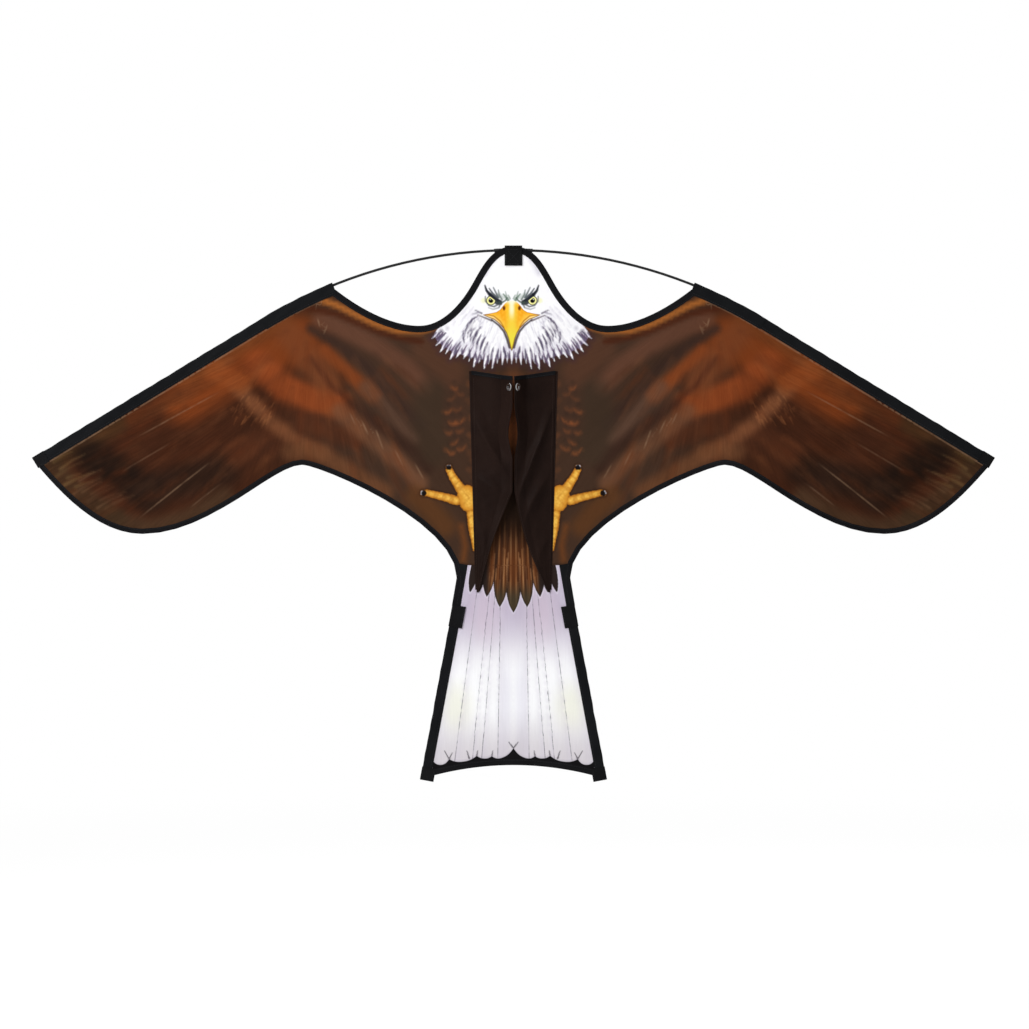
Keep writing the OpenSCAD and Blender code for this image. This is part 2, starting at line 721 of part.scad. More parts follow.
body_panel();
tail_panel();
tail_seam_tape();
head_binding();
trailing_binding_left();
trailing_binding_right();
tail_hem();
leading_cuff_left();
leading_cuff_right();
leading_sleeve_left();
leading_sleeve_right();
wing_tip_pocket_left();
wing_tip_pocket_right();
spar_left();
spar_right();
spar_ferrule();
spar_cap_left();
spar_cap_right();
head_tab();
tail_sleeve_left();
tail_sleeve_right();
tail_retainer_left();
tail_retainer_right();
tail_corner_left();
tail_corner_right();
keel_strip_left();
keel_strip_right();
keel_flap_left();
keel_flap_right();
keel_hem_left();
keel_hem_right();
keel_eyelet_left();
keel_eyelet_right();
keel_washer_left();
keel_washer_right();
tail_rod_left();
tail_rod_right();
tail_rod_cap_left();
tail_rod_cap_right();
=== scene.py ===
import math
import bpy
import numpy as np
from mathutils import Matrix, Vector
from mathutils.geometry import delaunay_2d_cdt


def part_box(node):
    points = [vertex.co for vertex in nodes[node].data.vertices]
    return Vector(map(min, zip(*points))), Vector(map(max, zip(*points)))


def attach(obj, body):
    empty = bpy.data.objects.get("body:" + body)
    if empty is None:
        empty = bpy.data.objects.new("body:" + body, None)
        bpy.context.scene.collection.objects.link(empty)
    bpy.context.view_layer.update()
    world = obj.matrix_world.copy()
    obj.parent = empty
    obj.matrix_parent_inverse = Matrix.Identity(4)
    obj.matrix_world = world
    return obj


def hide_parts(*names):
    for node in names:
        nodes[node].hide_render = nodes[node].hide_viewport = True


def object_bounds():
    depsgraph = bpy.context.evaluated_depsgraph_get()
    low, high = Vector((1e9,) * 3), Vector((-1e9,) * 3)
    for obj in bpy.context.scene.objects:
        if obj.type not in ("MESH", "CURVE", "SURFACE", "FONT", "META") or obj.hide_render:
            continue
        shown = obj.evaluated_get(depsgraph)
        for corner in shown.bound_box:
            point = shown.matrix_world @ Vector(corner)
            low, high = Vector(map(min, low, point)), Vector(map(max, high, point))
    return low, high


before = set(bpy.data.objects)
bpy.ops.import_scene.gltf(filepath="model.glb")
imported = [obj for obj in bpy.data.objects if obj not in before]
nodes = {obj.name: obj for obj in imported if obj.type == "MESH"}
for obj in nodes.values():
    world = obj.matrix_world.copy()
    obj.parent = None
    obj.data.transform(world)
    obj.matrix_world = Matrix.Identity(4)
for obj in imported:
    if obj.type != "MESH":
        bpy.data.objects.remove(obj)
cadBox = [list(corner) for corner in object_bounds()]
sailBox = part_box("body_panel")
sailPlane = (sailBox[0].y + sailBox[1].y) * 500  # middle of the cloth, mm behind the tow point
dice = np.random.default_rng(11)
twoSides = (("left", -1), ("right", 1))

# camera and light

shot = {"distance": 4.2, "width": 1.1752, "centreX": 0.0012, "centreZ": -0.1451, "sensor": 36}
lamps = [  # name, place, watts and size
    ("keyLamp", (-2.2, -2.0, 1.5), 96, 1.7),
    ("fillLamp", (1.9, -2.3, 0.7), 9, 1.9),
    ("backLamp", (0.6, 2.4, 1.9), 44, 2.2),
]
lampTarget = Vector((0, 0, -0.12))


def addObject(name, data):
    item = bpy.data.objects.new(name, data)
    bpy.context.scene.collection.objects.link(item)
    return item


def addCamera():
    lens = bpy.data.cameras.new("frontCamera")
    lens.sensor_width = shot["sensor"]
    lens.lens = shot["sensor"] * shot["distance"] / shot["width"]
    lens.clip_end = 100
    view = addObject("frontCamera", lens)
    view.location = (shot["centreX"], sailPlane / 1000 - shot["distance"], shot["centreZ"])
    view.rotation_euler = (math.pi / 2, 0, 0)
    bpy.context.scene.camera = view


def addLamp(name, place, watts, size):
    light = bpy.data.lights.new(name, "AREA")
    light.energy = watts
    light.shape = "DISK"
    light.size = size
    lamp = addObject(name, light)
    lamp.location = place
    lamp.rotation_euler = (lampTarget - lamp.location).to_track_quat("-Z", "Y").to_euler()


addCamera()
bpy.context.scene.view_settings.view_transform = "Standard"
for lampValues in lamps:
    addLamp(*lampValues)
print("camera and lamps set")

# shader helpers


def feed(tree, made, inputs):
    for key, value in inputs.items():
        if isinstance(value, bpy.types.NodeSocket):
            tree.links.new(value, made.inputs[key])
        else:
            made.inputs[key].default_value = value
    return made


def put(tree, kind, inputs=None, **props):
    made = tree.nodes.new(kind)
    for key, value in props.items():
        setattr(made, key, value)
    return feed(tree, made, inputs or {})


def calc(tree, operation, *values, clamp=False):
    made = put(tree, "ShaderNodeMath", dict(enumerate(values)), operation=operation, use_clamp=clamp)
    return made.outputs[0]


def blendInk(tree, share, under, over):
    return put(tree, "ShaderNodeMix", {0: share, 6: under, 7: over}, data_type="RGBA").outputs[2]


def ramped(tree, value, low, high, outLow=0.0, outHigh=1.0):
    made = put(tree, "ShaderNodeMapRange", {0: value, 1: low, 2: high, 3: outLow, 4: outHigh},
               interpolation_type="SMOOTHSTEP")
    return made.outputs[0]


def fading(tree, value, low, high):
    return ramped(tree, value, low, high, 1.0, 0.0)


def noise(tree, place, scale, detail=3.0, rough=0.55):
    made = put(tree, "ShaderNodeTexNoise",
               {"Vector": place, "Scale": scale, "Detail": detail, "Roughness": rough})
    return made.outputs[0]


def stretched(tree, place, x, y, z):
    return put(tree, "ShaderNodeVectorMath", {0: place, 1: (x, y, z)}, operation="MULTIPLY").outputs[0]


def split(tree, place):
    return put(tree, "ShaderNodeSeparateXYZ", {0: place}).outputs


def painted(tree, name, want="Fac"):
    return put(tree, "ShaderNodeAttribute", attribute_type="GEOMETRY", attribute_name=name).outputs[want]


def objectPlace(tree):
    return put(tree, "ShaderNodeTexCoord").outputs["Object"]


def newGroup(name, takes, gives):
    tree = bpy.data.node_groups.new(name, "ShaderNodeTree")
    for way, sockets in (("INPUT", takes), ("OUTPUT", gives)):
        for label, kind in sockets.items():
            tree.interface.new_socket(label, in_out=way, socket_type="NodeSocket" + kind)
    return tree, put(tree, "NodeGroupInput").outputs, put(tree, "NodeGroupOutput")


def buildWeave():  # plain weave: warp over weft in a small checker
    tree, take, give = newGroup("plainWeave", {"Place": "Vector", "Pitch": "Float"},
                                {"Height": "Float", "Tone": "Float"})
    parts = split(tree, take["Place"])
    across, along = (calc(tree, "SINE", calc(tree, "MULTIPLY", parts[k], take["Pitch"])) for k in "XY")
    over = calc(tree, "GREATER_THAN", calc(tree, "MULTIPLY", across, along), 0.0)
    warp = calc(tree, "MULTIPLY", calc(tree, "ABSOLUTE", across), over)
    weft = calc(tree, "MULTIPLY", calc(tree, "ABSOLUTE", along), calc(tree, "SUBTRACT", 1.0, over))
    high = calc(tree, "ADD", warp, weft)
    slub = noise(tree, stretched(tree, take["Place"], 900, 60, 1), 1.0, 2.0)
    tone = calc(tree, "MULTIPLY_ADD", high, 0.35, calc(tree, "MULTIPLY", slub, 0.65))
    feed(tree, give, {"Height": high, "Tone": tone})
    return tree


def buildStreaks():  # brush marks along the two fans of feathers painted on the sail
    tree, take, give = newGroup("brushStreaks", {"Inner": "Vector", "Outer": "Vector", "Share": "Float"},
                                {"Fine": "Float", "Broad": "Float"})
    for label, x, y, detail in (("Fine", 0.03, 0.55, 4.0), ("Broad", 0.014, 0.14, 3.0)):
        inner, outer = (noise(tree, stretched(tree, take[fan], x, y, 1), 1.0, detail, 0.6)
                        for fan in ("Inner", "Outer"))
        mixed = put(tree, "ShaderNodeMix", {0: take["Share"], 2: inner, 3: outer}, data_type="FLOAT")
        feed(tree, give, {label: mixed.outputs[0]})
    return tree


def buildRibs():  # cross ribs of tape and webbing, from the lay painted on each length
    tree, take, give = newGroup("wovenRibs", {"Lay": "Vector", "Rib": "Float", "Cord": "Float"},
                                {"Height": "Float", "Tone": "Float"})
    parts = split(tree, take["Lay"])
    rib, cord = (calc(tree, "ABSOLUTE", calc(tree, "SINE", calc(tree, "MULTIPLY", parts[k], take[rate])))
                 for k, rate in (("X", "Rib"), ("Y", "Cord")))
    high = calc(tree, "MULTIPLY", rib, calc(tree, "MULTIPLY_ADD", cord, 0.5, 0.5))
    uneven = noise(tree, take["Lay"], 0.35, 2.0)
    tone = calc(tree, "MULTIPLY_ADD", high, 0.5, calc(tree, "MULTIPLY", uneven, 0.5))
    feed(tree, give, {"Height": high, "Tone": tone})
    return tree


def buildFray():  # paler, fluffed threads close to the cut edges of a length
    tree, take, give = newGroup("edgeFray", {"Lay": "Vector", "Reach": "Float"}, {"Mask": "Float"})
    away = calc(tree, "DIVIDE", split(tree, take["Lay"])["Z"], take["Reach"])
    near = calc(tree, "SUBTRACT", 1.0, away, clamp=True)
    fluff = calc(tree, "MULTIPLY", noise(tree, stretched(tree, take["Lay"], 0.5, 2.0, 0), 1.0), 1.4)
    feed(tree, give, {"Mask": calc(tree, "MULTIPLY", near, fluff, clamp=True)})
    return tree


def buildMottle():  # broad uneven tone, such as handling marks and uneven dye
    tree, take, give = newGroup("softMottle", {"Place": "Vector", "Scale": "Float"}, {"Mask": "Float"})
    clouds = noise(tree, take["Place"], take["Scale"], 4.0, 0.5)
    feed(tree, give, {"Mask": ramped(tree, clouds, 0.3, 0.7)})
    return tree


groups = {"weave": buildWeave(), "streaks": buildStreaks(), "ribs": buildRibs(), "fray": buildFray(),
          "mottle": buildMottle()}


def useGroup(tree, name, **inputs):
    return put(tree, "ShaderNodeGroup", inputs, node_tree=groups[name]).outputs


def mottled(tree, scale):
    return useGroup(tree, "mottle", Place=objectPlace(tree), Scale=scale)["Mask"]


def toLinear(value):
    share = np.asarray(value, float) / 255
    return np.where(share <= 0.04045, share / 12.92, ((share + 0.055) / 1.055) ** 2.4)


def ink(colour):
    return (*[float(c) for c in toLinear(colour)], 1.0)


def darker(colour, share):
    return (*[c * share for c in colour[:3]], 1.0)


def newMaterial(name, rough, gloss, metallic=0.0):
    mat = bpy.data.materials.new(name)
    mat.use_nodes = True
    tree = mat.node_tree
    tree.nodes.clear()
    shader = put(tree, "ShaderNodeBsdfPrincipled",
                 {"Roughness": rough, "Metallic": metallic, "Specular IOR Level": gloss})
    put(tree, "ShaderNodeOutputMaterial", {0: shader.outputs[0]})
    return mat, tree, shader


def bumpTo(tree, shader, height, strength, reach):
    made = put(tree, "ShaderNodeBump", {"Strength": strength, "Distance": reach, "Height": height})
    feed(tree, shader, {"Normal": made.outputs[0]})


# materials

cloth = {"weavePitch": 9000.0, "weaveDepth": 0.00004, "roughness": 0.66, "gloss": 0.015, "mottle": 9.0,
         "fineStreak": 0.42, "broadStreak": 0.3, "backFade": 0.3}
printInks = {"tailLine": (112, 106, 118), "tailEnd": (20, 19, 21), "paleHair": (150, 118, 92),
             "glint": (236, 236, 236), "weaveGap": (16, 13, 12), "through": (150, 140, 134)}
eyeRings = [(4.8, (50, 52, 55)), (4.0, (238, 235, 158)), (2.4, (22, 18, 18))]  # reach and colour


def streakedGround(tree):  # the painted ground with brush marks along its feathers
    fan = split(tree, painted(tree, "streak", "Vector"))
    streaks = useGroup(tree, "streaks", Inner=painted(tree, "flow", "Vector"),
                       Outer=painted(tree, "flowOut", "Vector"), Share=fan["Y"])
    fine = calc(tree, "SUBTRACT", ramped(tree, streaks["Fine"], 0.25, 0.75), 0.5)
    broad = calc(tree, "SUBTRACT", ramped(tree, streaks["Broad"], 0.3, 0.7), 0.5)
    broad = calc(tree, "MULTIPLY", broad, cloth["broadStreak"])
    lift = calc(tree, "MULTIPLY_ADD", fine, cloth["fineStreak"], broad)
    gain = calc(tree, "MULTIPLY_ADD", lift, fan["X"], 1.0)
    return put(tree, "ShaderNodeVectorMath", {0: painted(tree, "ground", "Color"), "Scale": gain},
               operation="SCALE").outputs[0]


def tailLinesOn(tree, ground):  # thin lines between the tail feathers, and the dark hem
    line = split(tree, painted(tree, "drawnLine", "Vector"))
    away = calc(tree, "ABSOLUTE", calc(tree, "SUBTRACT", line["X"], calc(tree, "ROUND", line["X"])))
    thin = fading(tree, calc(tree, "MULTIPLY", away, line["Y"]), 0.15, 0.6)
    broken = ramped(tree, noise(tree, objectPlace(tree), 150.0, 2.0), 0.4, 0.6, 0.3, 0.8)
    share = calc(tree, "MULTIPLY", calc(tree, "MULTIPLY", thin, broken), line["Z"])
    ground = blendInk(tree, share, ground, ink(printInks["tailLine"]))
    ends = fading(tree, painted(tree, "tailEnd"), -0.35, 0.35)
    return blendInk(tree, ends, ground, ink(printInks["tailEnd"]))


def hairsOn(tree, ground):  # worn pale hairs in the plumage
    line = split(tree, painted(tree, "drawnLine", "Vector"))
    thin = fading(tree, calc(tree, "ABSOLUTE", line["X"]), 0.1, 1.5)
    worn = ramped(tree, noise(tree, objectPlace(tree), 90.0), 0.3, 0.6, 0.45, 1.0)
    share = calc(tree, "MULTIPLY", calc(tree, "MULTIPLY", thin, line["Y"]), worn)
    return blendInk(tree, share, ground, ink(printInks["paleHair"]))


def faceOn(tree, colour):
    beak = ramped(tree, painted(tree, "beakEdge"), -0.3, 0.3)
    colour = blendInk(tree, beak, colour, painted(tree, "beakInk", "Color"))
    eye = painted(tree, "eyeReach")
    for reach, shade in eyeRings:
        colour = blendInk(tree, fading(tree, eye, reach - 0.3, reach + 0.4), colour, ink(shade))
    glint = fading(tree, painted(tree, "eyeGlint"), 0.3, 0.8)
    return blendInk(tree, glint, colour, ink(printInks["glint"]))


def printMaterial(name, tail, back):  # the printed picture, seen from the front or through the cloth
    mat, tree, shader = newMaterial(name, cloth["roughness"], cloth["gloss"])
    ground = streakedGround(tree)
    ground = tailLinesOn(tree, ground) if tail else hairsOn(tree, ground)
    jitter = calc(tree, "MULTIPLY_ADD", noise(tree, objectPlace(tree), 700.0, 2.0), 0.8, -0.4)
    edge = calc(tree, "ADD", painted(tree, "pictureEdge"), jitter)
    colour = blendInk(tree, ramped(tree, edge, -0.4, 0.4), ground, painted(tree, "picture", "Color"))
    if not tail:
        colour = faceOn(tree, colour)
    parts = split(tree, objectPlace(tree))
    threads = put(tree, "ShaderNodeCombineXYZ", {0: parts["X"], 1: parts["Z"]}).outputs[0]  # warp, weft
    weave = useGroup(tree, "weave", Place=threads, Pitch=cloth["weavePitch"])
    colour = blendInk(tree, calc(tree, "MULTIPLY", weave["Tone"], 0.1), colour, ink(printInks["weaveGap"]))
    if back:
        colour = blendInk(tree, cloth["backFade"], colour, ink(printInks["through"]))
    rough = calc(tree, "MULTIPLY_ADD", mottled(tree, cloth["mottle"]), 0.1, cloth["roughness"] - 0.05)
    feed(tree, shader, {"Base Color": colour, "Roughness": rough})
    bumpTo(tree, shader, weave["Height"], 0.5, cloth["weaveDepth"])
    return mat


def ribbonMaterial(name, colour, worn, rib, cord, rough, depth, reach, gloss):
    mat, tree, shader = newMaterial(name, rough, gloss)
    lay = painted(tree, "lay", "Vector")
    ribs = useGroup(tree, "ribs", Lay=lay, Rib=rib, Cord=cord)
    fray = useGroup(tree, "fray", Lay=lay, Reach=reach)["Mask"]
    mottle = mottled(tree, 26.0)
    shade = blendInk(tree, ribs["Tone"], darker(ink(colour), 0.55), ink(colour))
    for mask, share in ((mottle, 0.25), (fray, 0.6)):
        shade = blendInk(tree, calc(tree, "MULTIPLY", mask, share), shade, ink(worn))
    uneven = calc(tree, "MULTIPLY_ADD", mottle, 0.14, rough - 0.07)
    feed(tree, shader, {"Base Color": shade, "Roughness": uneven})
    bumpTo(tree, shader, ribs["Height"], 0.6, depth)
    return mat


def threadMaterial(name, colour):
    mat, tree, shader = newMaterial(name, 0.5, 0.12)
    twist = noise(tree, objectPlace(tree), 900.0, 2.0)
    feed(tree, shader, {"Base Color": blendInk(tree, twist, darker(ink(colour), 0.5), ink(colour))})
    bumpTo(tree, shader, twist, 0.4, 0.0001)
    return mat


def rodMaterial(name, colour, grain, rough, metallic, gloss):  # drawn along its length
    mat, tree, shader = newMaterial(name, rough, gloss, metallic)
    drawn = noise(tree, stretched(tree, objectPlace(tree), *grain), 1.0)
    shade = blendInk(tree, drawn, darker(ink(colour), 0.6), ink(colour))
    uneven = calc(tree, "MULTIPLY_ADD", mottled(tree, 60.0), 0.15, rough - 0.06)
    feed(tree, shader, {"Base Color": shade, "Roughness": uneven})
    bumpTo(tree, shader, drawn, 0.25, 0.00008)
    return mat


ribbonLooks = [  # name, colour, worn colour, ribs along and across, roughness, depth m, fray mm and gloss
    ("edgingTape", (20, 20, 22), (36, 36, 38), 5.2, 2.6, 0.6, 0.00012, 0.5, 0.025),
    ("sleeveCloth", (19, 20, 22), (34, 35, 37), 7.8, 7.8, 0.5, 0.00006, 0.6, 0.03),
    ("webbing", (20, 20, 21), (38, 38, 40), 2.6, 1.9, 0.62, 0.00025, 0.7, 0.025),
    ("flapCloth", (31, 21, 18), (48, 34, 29), 9.0, 9.0, 0.45, 0.00005, 0.8, 0.02),
]
rodLooks = [  # name, colour, grain, roughness, metal and gloss
    ("glassFibreRod", (20, 20, 21), (40, 900, 900), 0.38, 0.0, 0.2),
    ("glassFibreTailRod", (22, 22, 24), (900, 900, 40), 0.38, 0.0, 0.2),
    ("ferruleTube", (30, 30, 32), (30, 1200, 1200), 0.36, 0.0, 0.2),
    ("vinylCap", (20, 20, 21), (300, 300, 300), 0.55, 0.0, 0.15),
    ("nickelPlate", (205, 206, 208), (700, 700, 700), 0.24, 1.0, 0.5),
]
sailMats = [printMaterial("sailPrint" + side, False, side == "Back") for side in ("Front", "Back")]
tailMats = [printMaterial("tailPrint" + side, True, side == "Back") for side in ("Front", "Back")]
tapeCloth, sleeveCloth, webCloth, flapCloth = [ribbonMaterial(*look) for look in ribbonLooks]
blackThread = threadMaterial("blackThread", (38, 38, 41))
brownThread = threadMaterial("brownThread", (50, 36, 31))
glassRod, tailRodMat, ferruleMat, capMat, nickel = [rodMaterial(*look) for look in rodLooks]
sewnFrom = {"edging_tape": [tapeCloth, blackThread], "sleeve_cloth": [sleeveCloth, blackThread],
            "webbing": [webCloth, blackThread], "flap_cloth": [flapCloth, brownThread]}  # by slot
print("materials made")

# mesh helpers, all in mm from the tow point with y from the sail's middle plane


def addPiece(name, points, faces, mats, body, stands, faceMats, attrs, sharp=40):
    placed = np.array(points, float)
    placed[:, 1] += sailPlane
    mesh = bpy.data.meshes.new(name)
    mesh.from_pydata((placed / 1000).tolist(), [], [list(map(int, f)) for f in faces])
    for mat in mats:
        mesh.materials.append(mat)
    mesh.polygons.foreach_set("use_smooth", np.ones(len(mesh.polygons), bool))
    mesh.polygons.foreach_set("material_index", np.asarray(faceMats, np.int32))
    kinds = {1: ("FLOAT", "value"), 3: ("FLOAT_VECTOR", "vector"), 4: ("FLOAT_COLOR", "color")}
    for label, values in attrs.items():
        values = np.asarray(values, np.float32)
        kind, key = kinds[1 if values.ndim == 1 else values.shape[1]]
        mesh.attributes.new(label, kind, "POINT").data.foreach_set(key, values.ravel())
    mesh.update()
    if sharp:
        mesh.set_sharp_from_angle(angle=math.radians(sharp))
    item = addObject(name, mesh)
    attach(item, body)
    if stands:
        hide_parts(*stands)
    return item


def closedSheet(front, back, faces):  # two sides and the rim between them
    count = len(front)
    faces = [tuple(f) for f in faces]
    edges = dict.fromkeys((a, b) for face in faces for a, b in zip(face, face[1:] + face[:1]))
    backFaces = [tuple(i + count for i in reversed(f)) for f in faces]
    rimFaces = [(b, a, a + count, b + count) for a, b in edges if (b, a) not in edges]
    sides = [0] * len(faces) + [1] * (len(backFaces) + len(rimFaces))
    return np.vstack([front, back]), faces + backFaces + rimFaces, sides


def unit(vectors):
    return vectors / np.linalg.norm(vectors, axis=-1, keepdims=True)


def runLength(path):
    return np.concatenate([[0], np.cumsum(np.linalg.norm(np.diff(path, axis=0), axis=1))])


def samplePath(path, run, want):
    return np.stack([np.interp(want, run, path[:, k]) for k in range(path.shape[1])], -1)


def resample(path, step):
    path = np.asarray(path, float)
    run = runLength(path)
    return samplePath(path, run, np.linspace(0, run[-1], max(2, int(round(run[-1] / step)) + 1)))


def pathReach(points, path):  # distance to a path and the share of the way along it
    path = np.asarray(path, float)
    run = runLength(path)
    best = np.full(len(points), 1e9)
    share = np.zeros(len(points))
    for k, step in enumerate(np.diff(path, axis=0)):
        t = np.clip(((points - path[k]) @ step) / max(step @ step, 1e-9), 0, 1)
        away = np.hypot(*(points - path[k] - t[:, None] * step).T)
        closer = away < best
        best[closer] = away[closer]
        share[closer] = (run[k] + t[closer] * (run[k + 1] - run[k])) / run[-1]
    return best, share


def insideReach(points, outline):  # distance to an outline, positive inside it
    outline = np.asarray(outline, float)
    away, _ = pathReach(points, np.vstack([outline, outline[:1]]))
    inside = np.zeros(len(points), bool)
    x, z = points.T
    for (ax, az), (bx, bz) in zip(outline, np.roll(outline, -1, 0)):
        crosses = (az > z) != (bz > z)
        with np.errstate(divide="ignore", invalid="ignore"):
            at = (bx - ax) * (z - az) / (bz - az) + ax
        inside ^= crosses & (x < at)
    return np.where(inside, away, -away)


def eased(value, low, high):
    t = np.clip((value - low) / (high - low), 0, 1)
    return t * t * (3 - 2 * t)


def fadeOut(value, low, high):
    return 1 - eased(value, low, high)


def frontLoop(node):  # outline of a panel's front face, read from the frame
    mesh = nodes[node].data
    known = {}
    ids = [known.setdefault(tuple(round(c * 1e6) for c in v.co), len(known)) for v in mesh.vertices]
    places = [(k[0] / 1000, k[2] / 1000) for k in known]
    edges = set()
    for face in mesh.polygons:
        if face.normal.y < -0.9:
            ring = [ids[i] for i in face.vertices]
            for a, b in zip(ring, ring[1:] + ring[:1]):
                if (b, a) in edges:
                    edges.discard((b, a))
                else:
                    edges.add((a, b))
    after = dict(edges)
    loop = [min(after)]
    while after[loop[-1]] != loop[0]:
        loop.append(after[loop[-1]])
    return np.array([places[i] for i in loop])


def cutLoop(loop, start, stop):
    a, b = (int(np.argmin(np.hypot(*(loop - corner).T))) for corner in (start, stop))
    return np.roll(loop, -a, 0)[: (b - a) % len(loop) + 1]


bodyLoop, tailLoop = frontLoop("body_panel"), frontLoop("tail_panel")
tipCorner, sleeveCorner, seamCorner, tailTopCorner, hemCorner = np.array(
    [(544.74, -87.26), (203.85, 111.63), (67.23, -203.0), (69.0, -248.0), (99.02, -445.04)])
spar = {"bow": 550.0, "bowZ": -393.0, "sweep": math.radians(31.3), "start": math.radians(21.9962),
        "tipRun": 307.423, "back": 3.0}
tailLine = {"top": (69.0, -248.0), "lean": math.radians(10.5327), "run": 202.41}
keelSeam = [(48.0, 18.5), (42.0, -234.0)]


def leadPoint(run):  # place and outward normal on the spar, run measured from where the bow ends
    turn = spar["sweep"] + min(run, 0) / spar["bow"]
    nx, nz = math.sin(turn), math.cos(turn)
    straight = max(run, 0)
    return spar["bow"] * nx + straight * nz, spar["bowZ"] + spar["bow"] * nz - straight * nx, nx, nz


def tailPoint(run):
    s, c = math.sin(tailLine["lean"]), math.cos(tailLine["lean"])
    return tailLine["top"][0] + run * s, tailLine["top"][1] - run * c, c, s


sparRuns = np.linspace(-spar["sweep"] * spar["bow"], spar["tipRun"], 40)
sparPath = np.array([leadPoint(r)[:2] for r in sparRuns])
tailPath = np.array([tailPoint(r)[:2] for r in (0, 100, 203)])
ripple = {"folds": [(2.1, 92.0, 0.006, 0.9), (0.9, 51.0, -0.011, 2.1)],  # height, wave length, drift, start
          "fine": 0.12, "fineWave": 21.0, "slant": (0.62, 0.78), "middle": 0.3,
          "held": [(sparPath, 14, 95), (tailPath, 13, 60), (keelSeam, 4, 60)]}  # flat to, and free from, mm


def sailRipple(x, z):  # how far the cloth stands behind its flat plane, mm
    side = np.stack([np.abs(x), z], 1)
    s, c = ripple["slant"]
    fold = c * z - s * side[:, 0]
    along = c * side[:, 0] + s * z
    wave = ripple["fine"] * np.sin(2 * math.pi * (0.9 * fold + 0.3 * along) / ripple["fineWave"] + 0.02 * x)
    for high, length, drift, start in ripple["folds"]:
        wave = wave + high * np.sin(2 * math.pi * fold / length + drift * along + start)
    wave = wave * (ripple["middle"] + (1 - ripple["middle"]) * eased(side[:, 0], 60, 150))
    for path, near, far in ripple["held"]:
        wave = wave * eased(pathReach(side, path)[0], near, far)
    return wave


print("outline read:", len(bodyLoop), "and", len(tailLoop), "points")

# the print, drawn in print units of 1.147 mm from the tow point

printScale = 1.147
headShift = 1.7  # the face sits this far left of the sail's middle
innerFan, outerFan = np.array((200.0, 96.0)), np.array((56.0, 122.0))  # where the wing feathers spread from
crown = np.array((0.0, 125.0))  # where the face feathers spread from

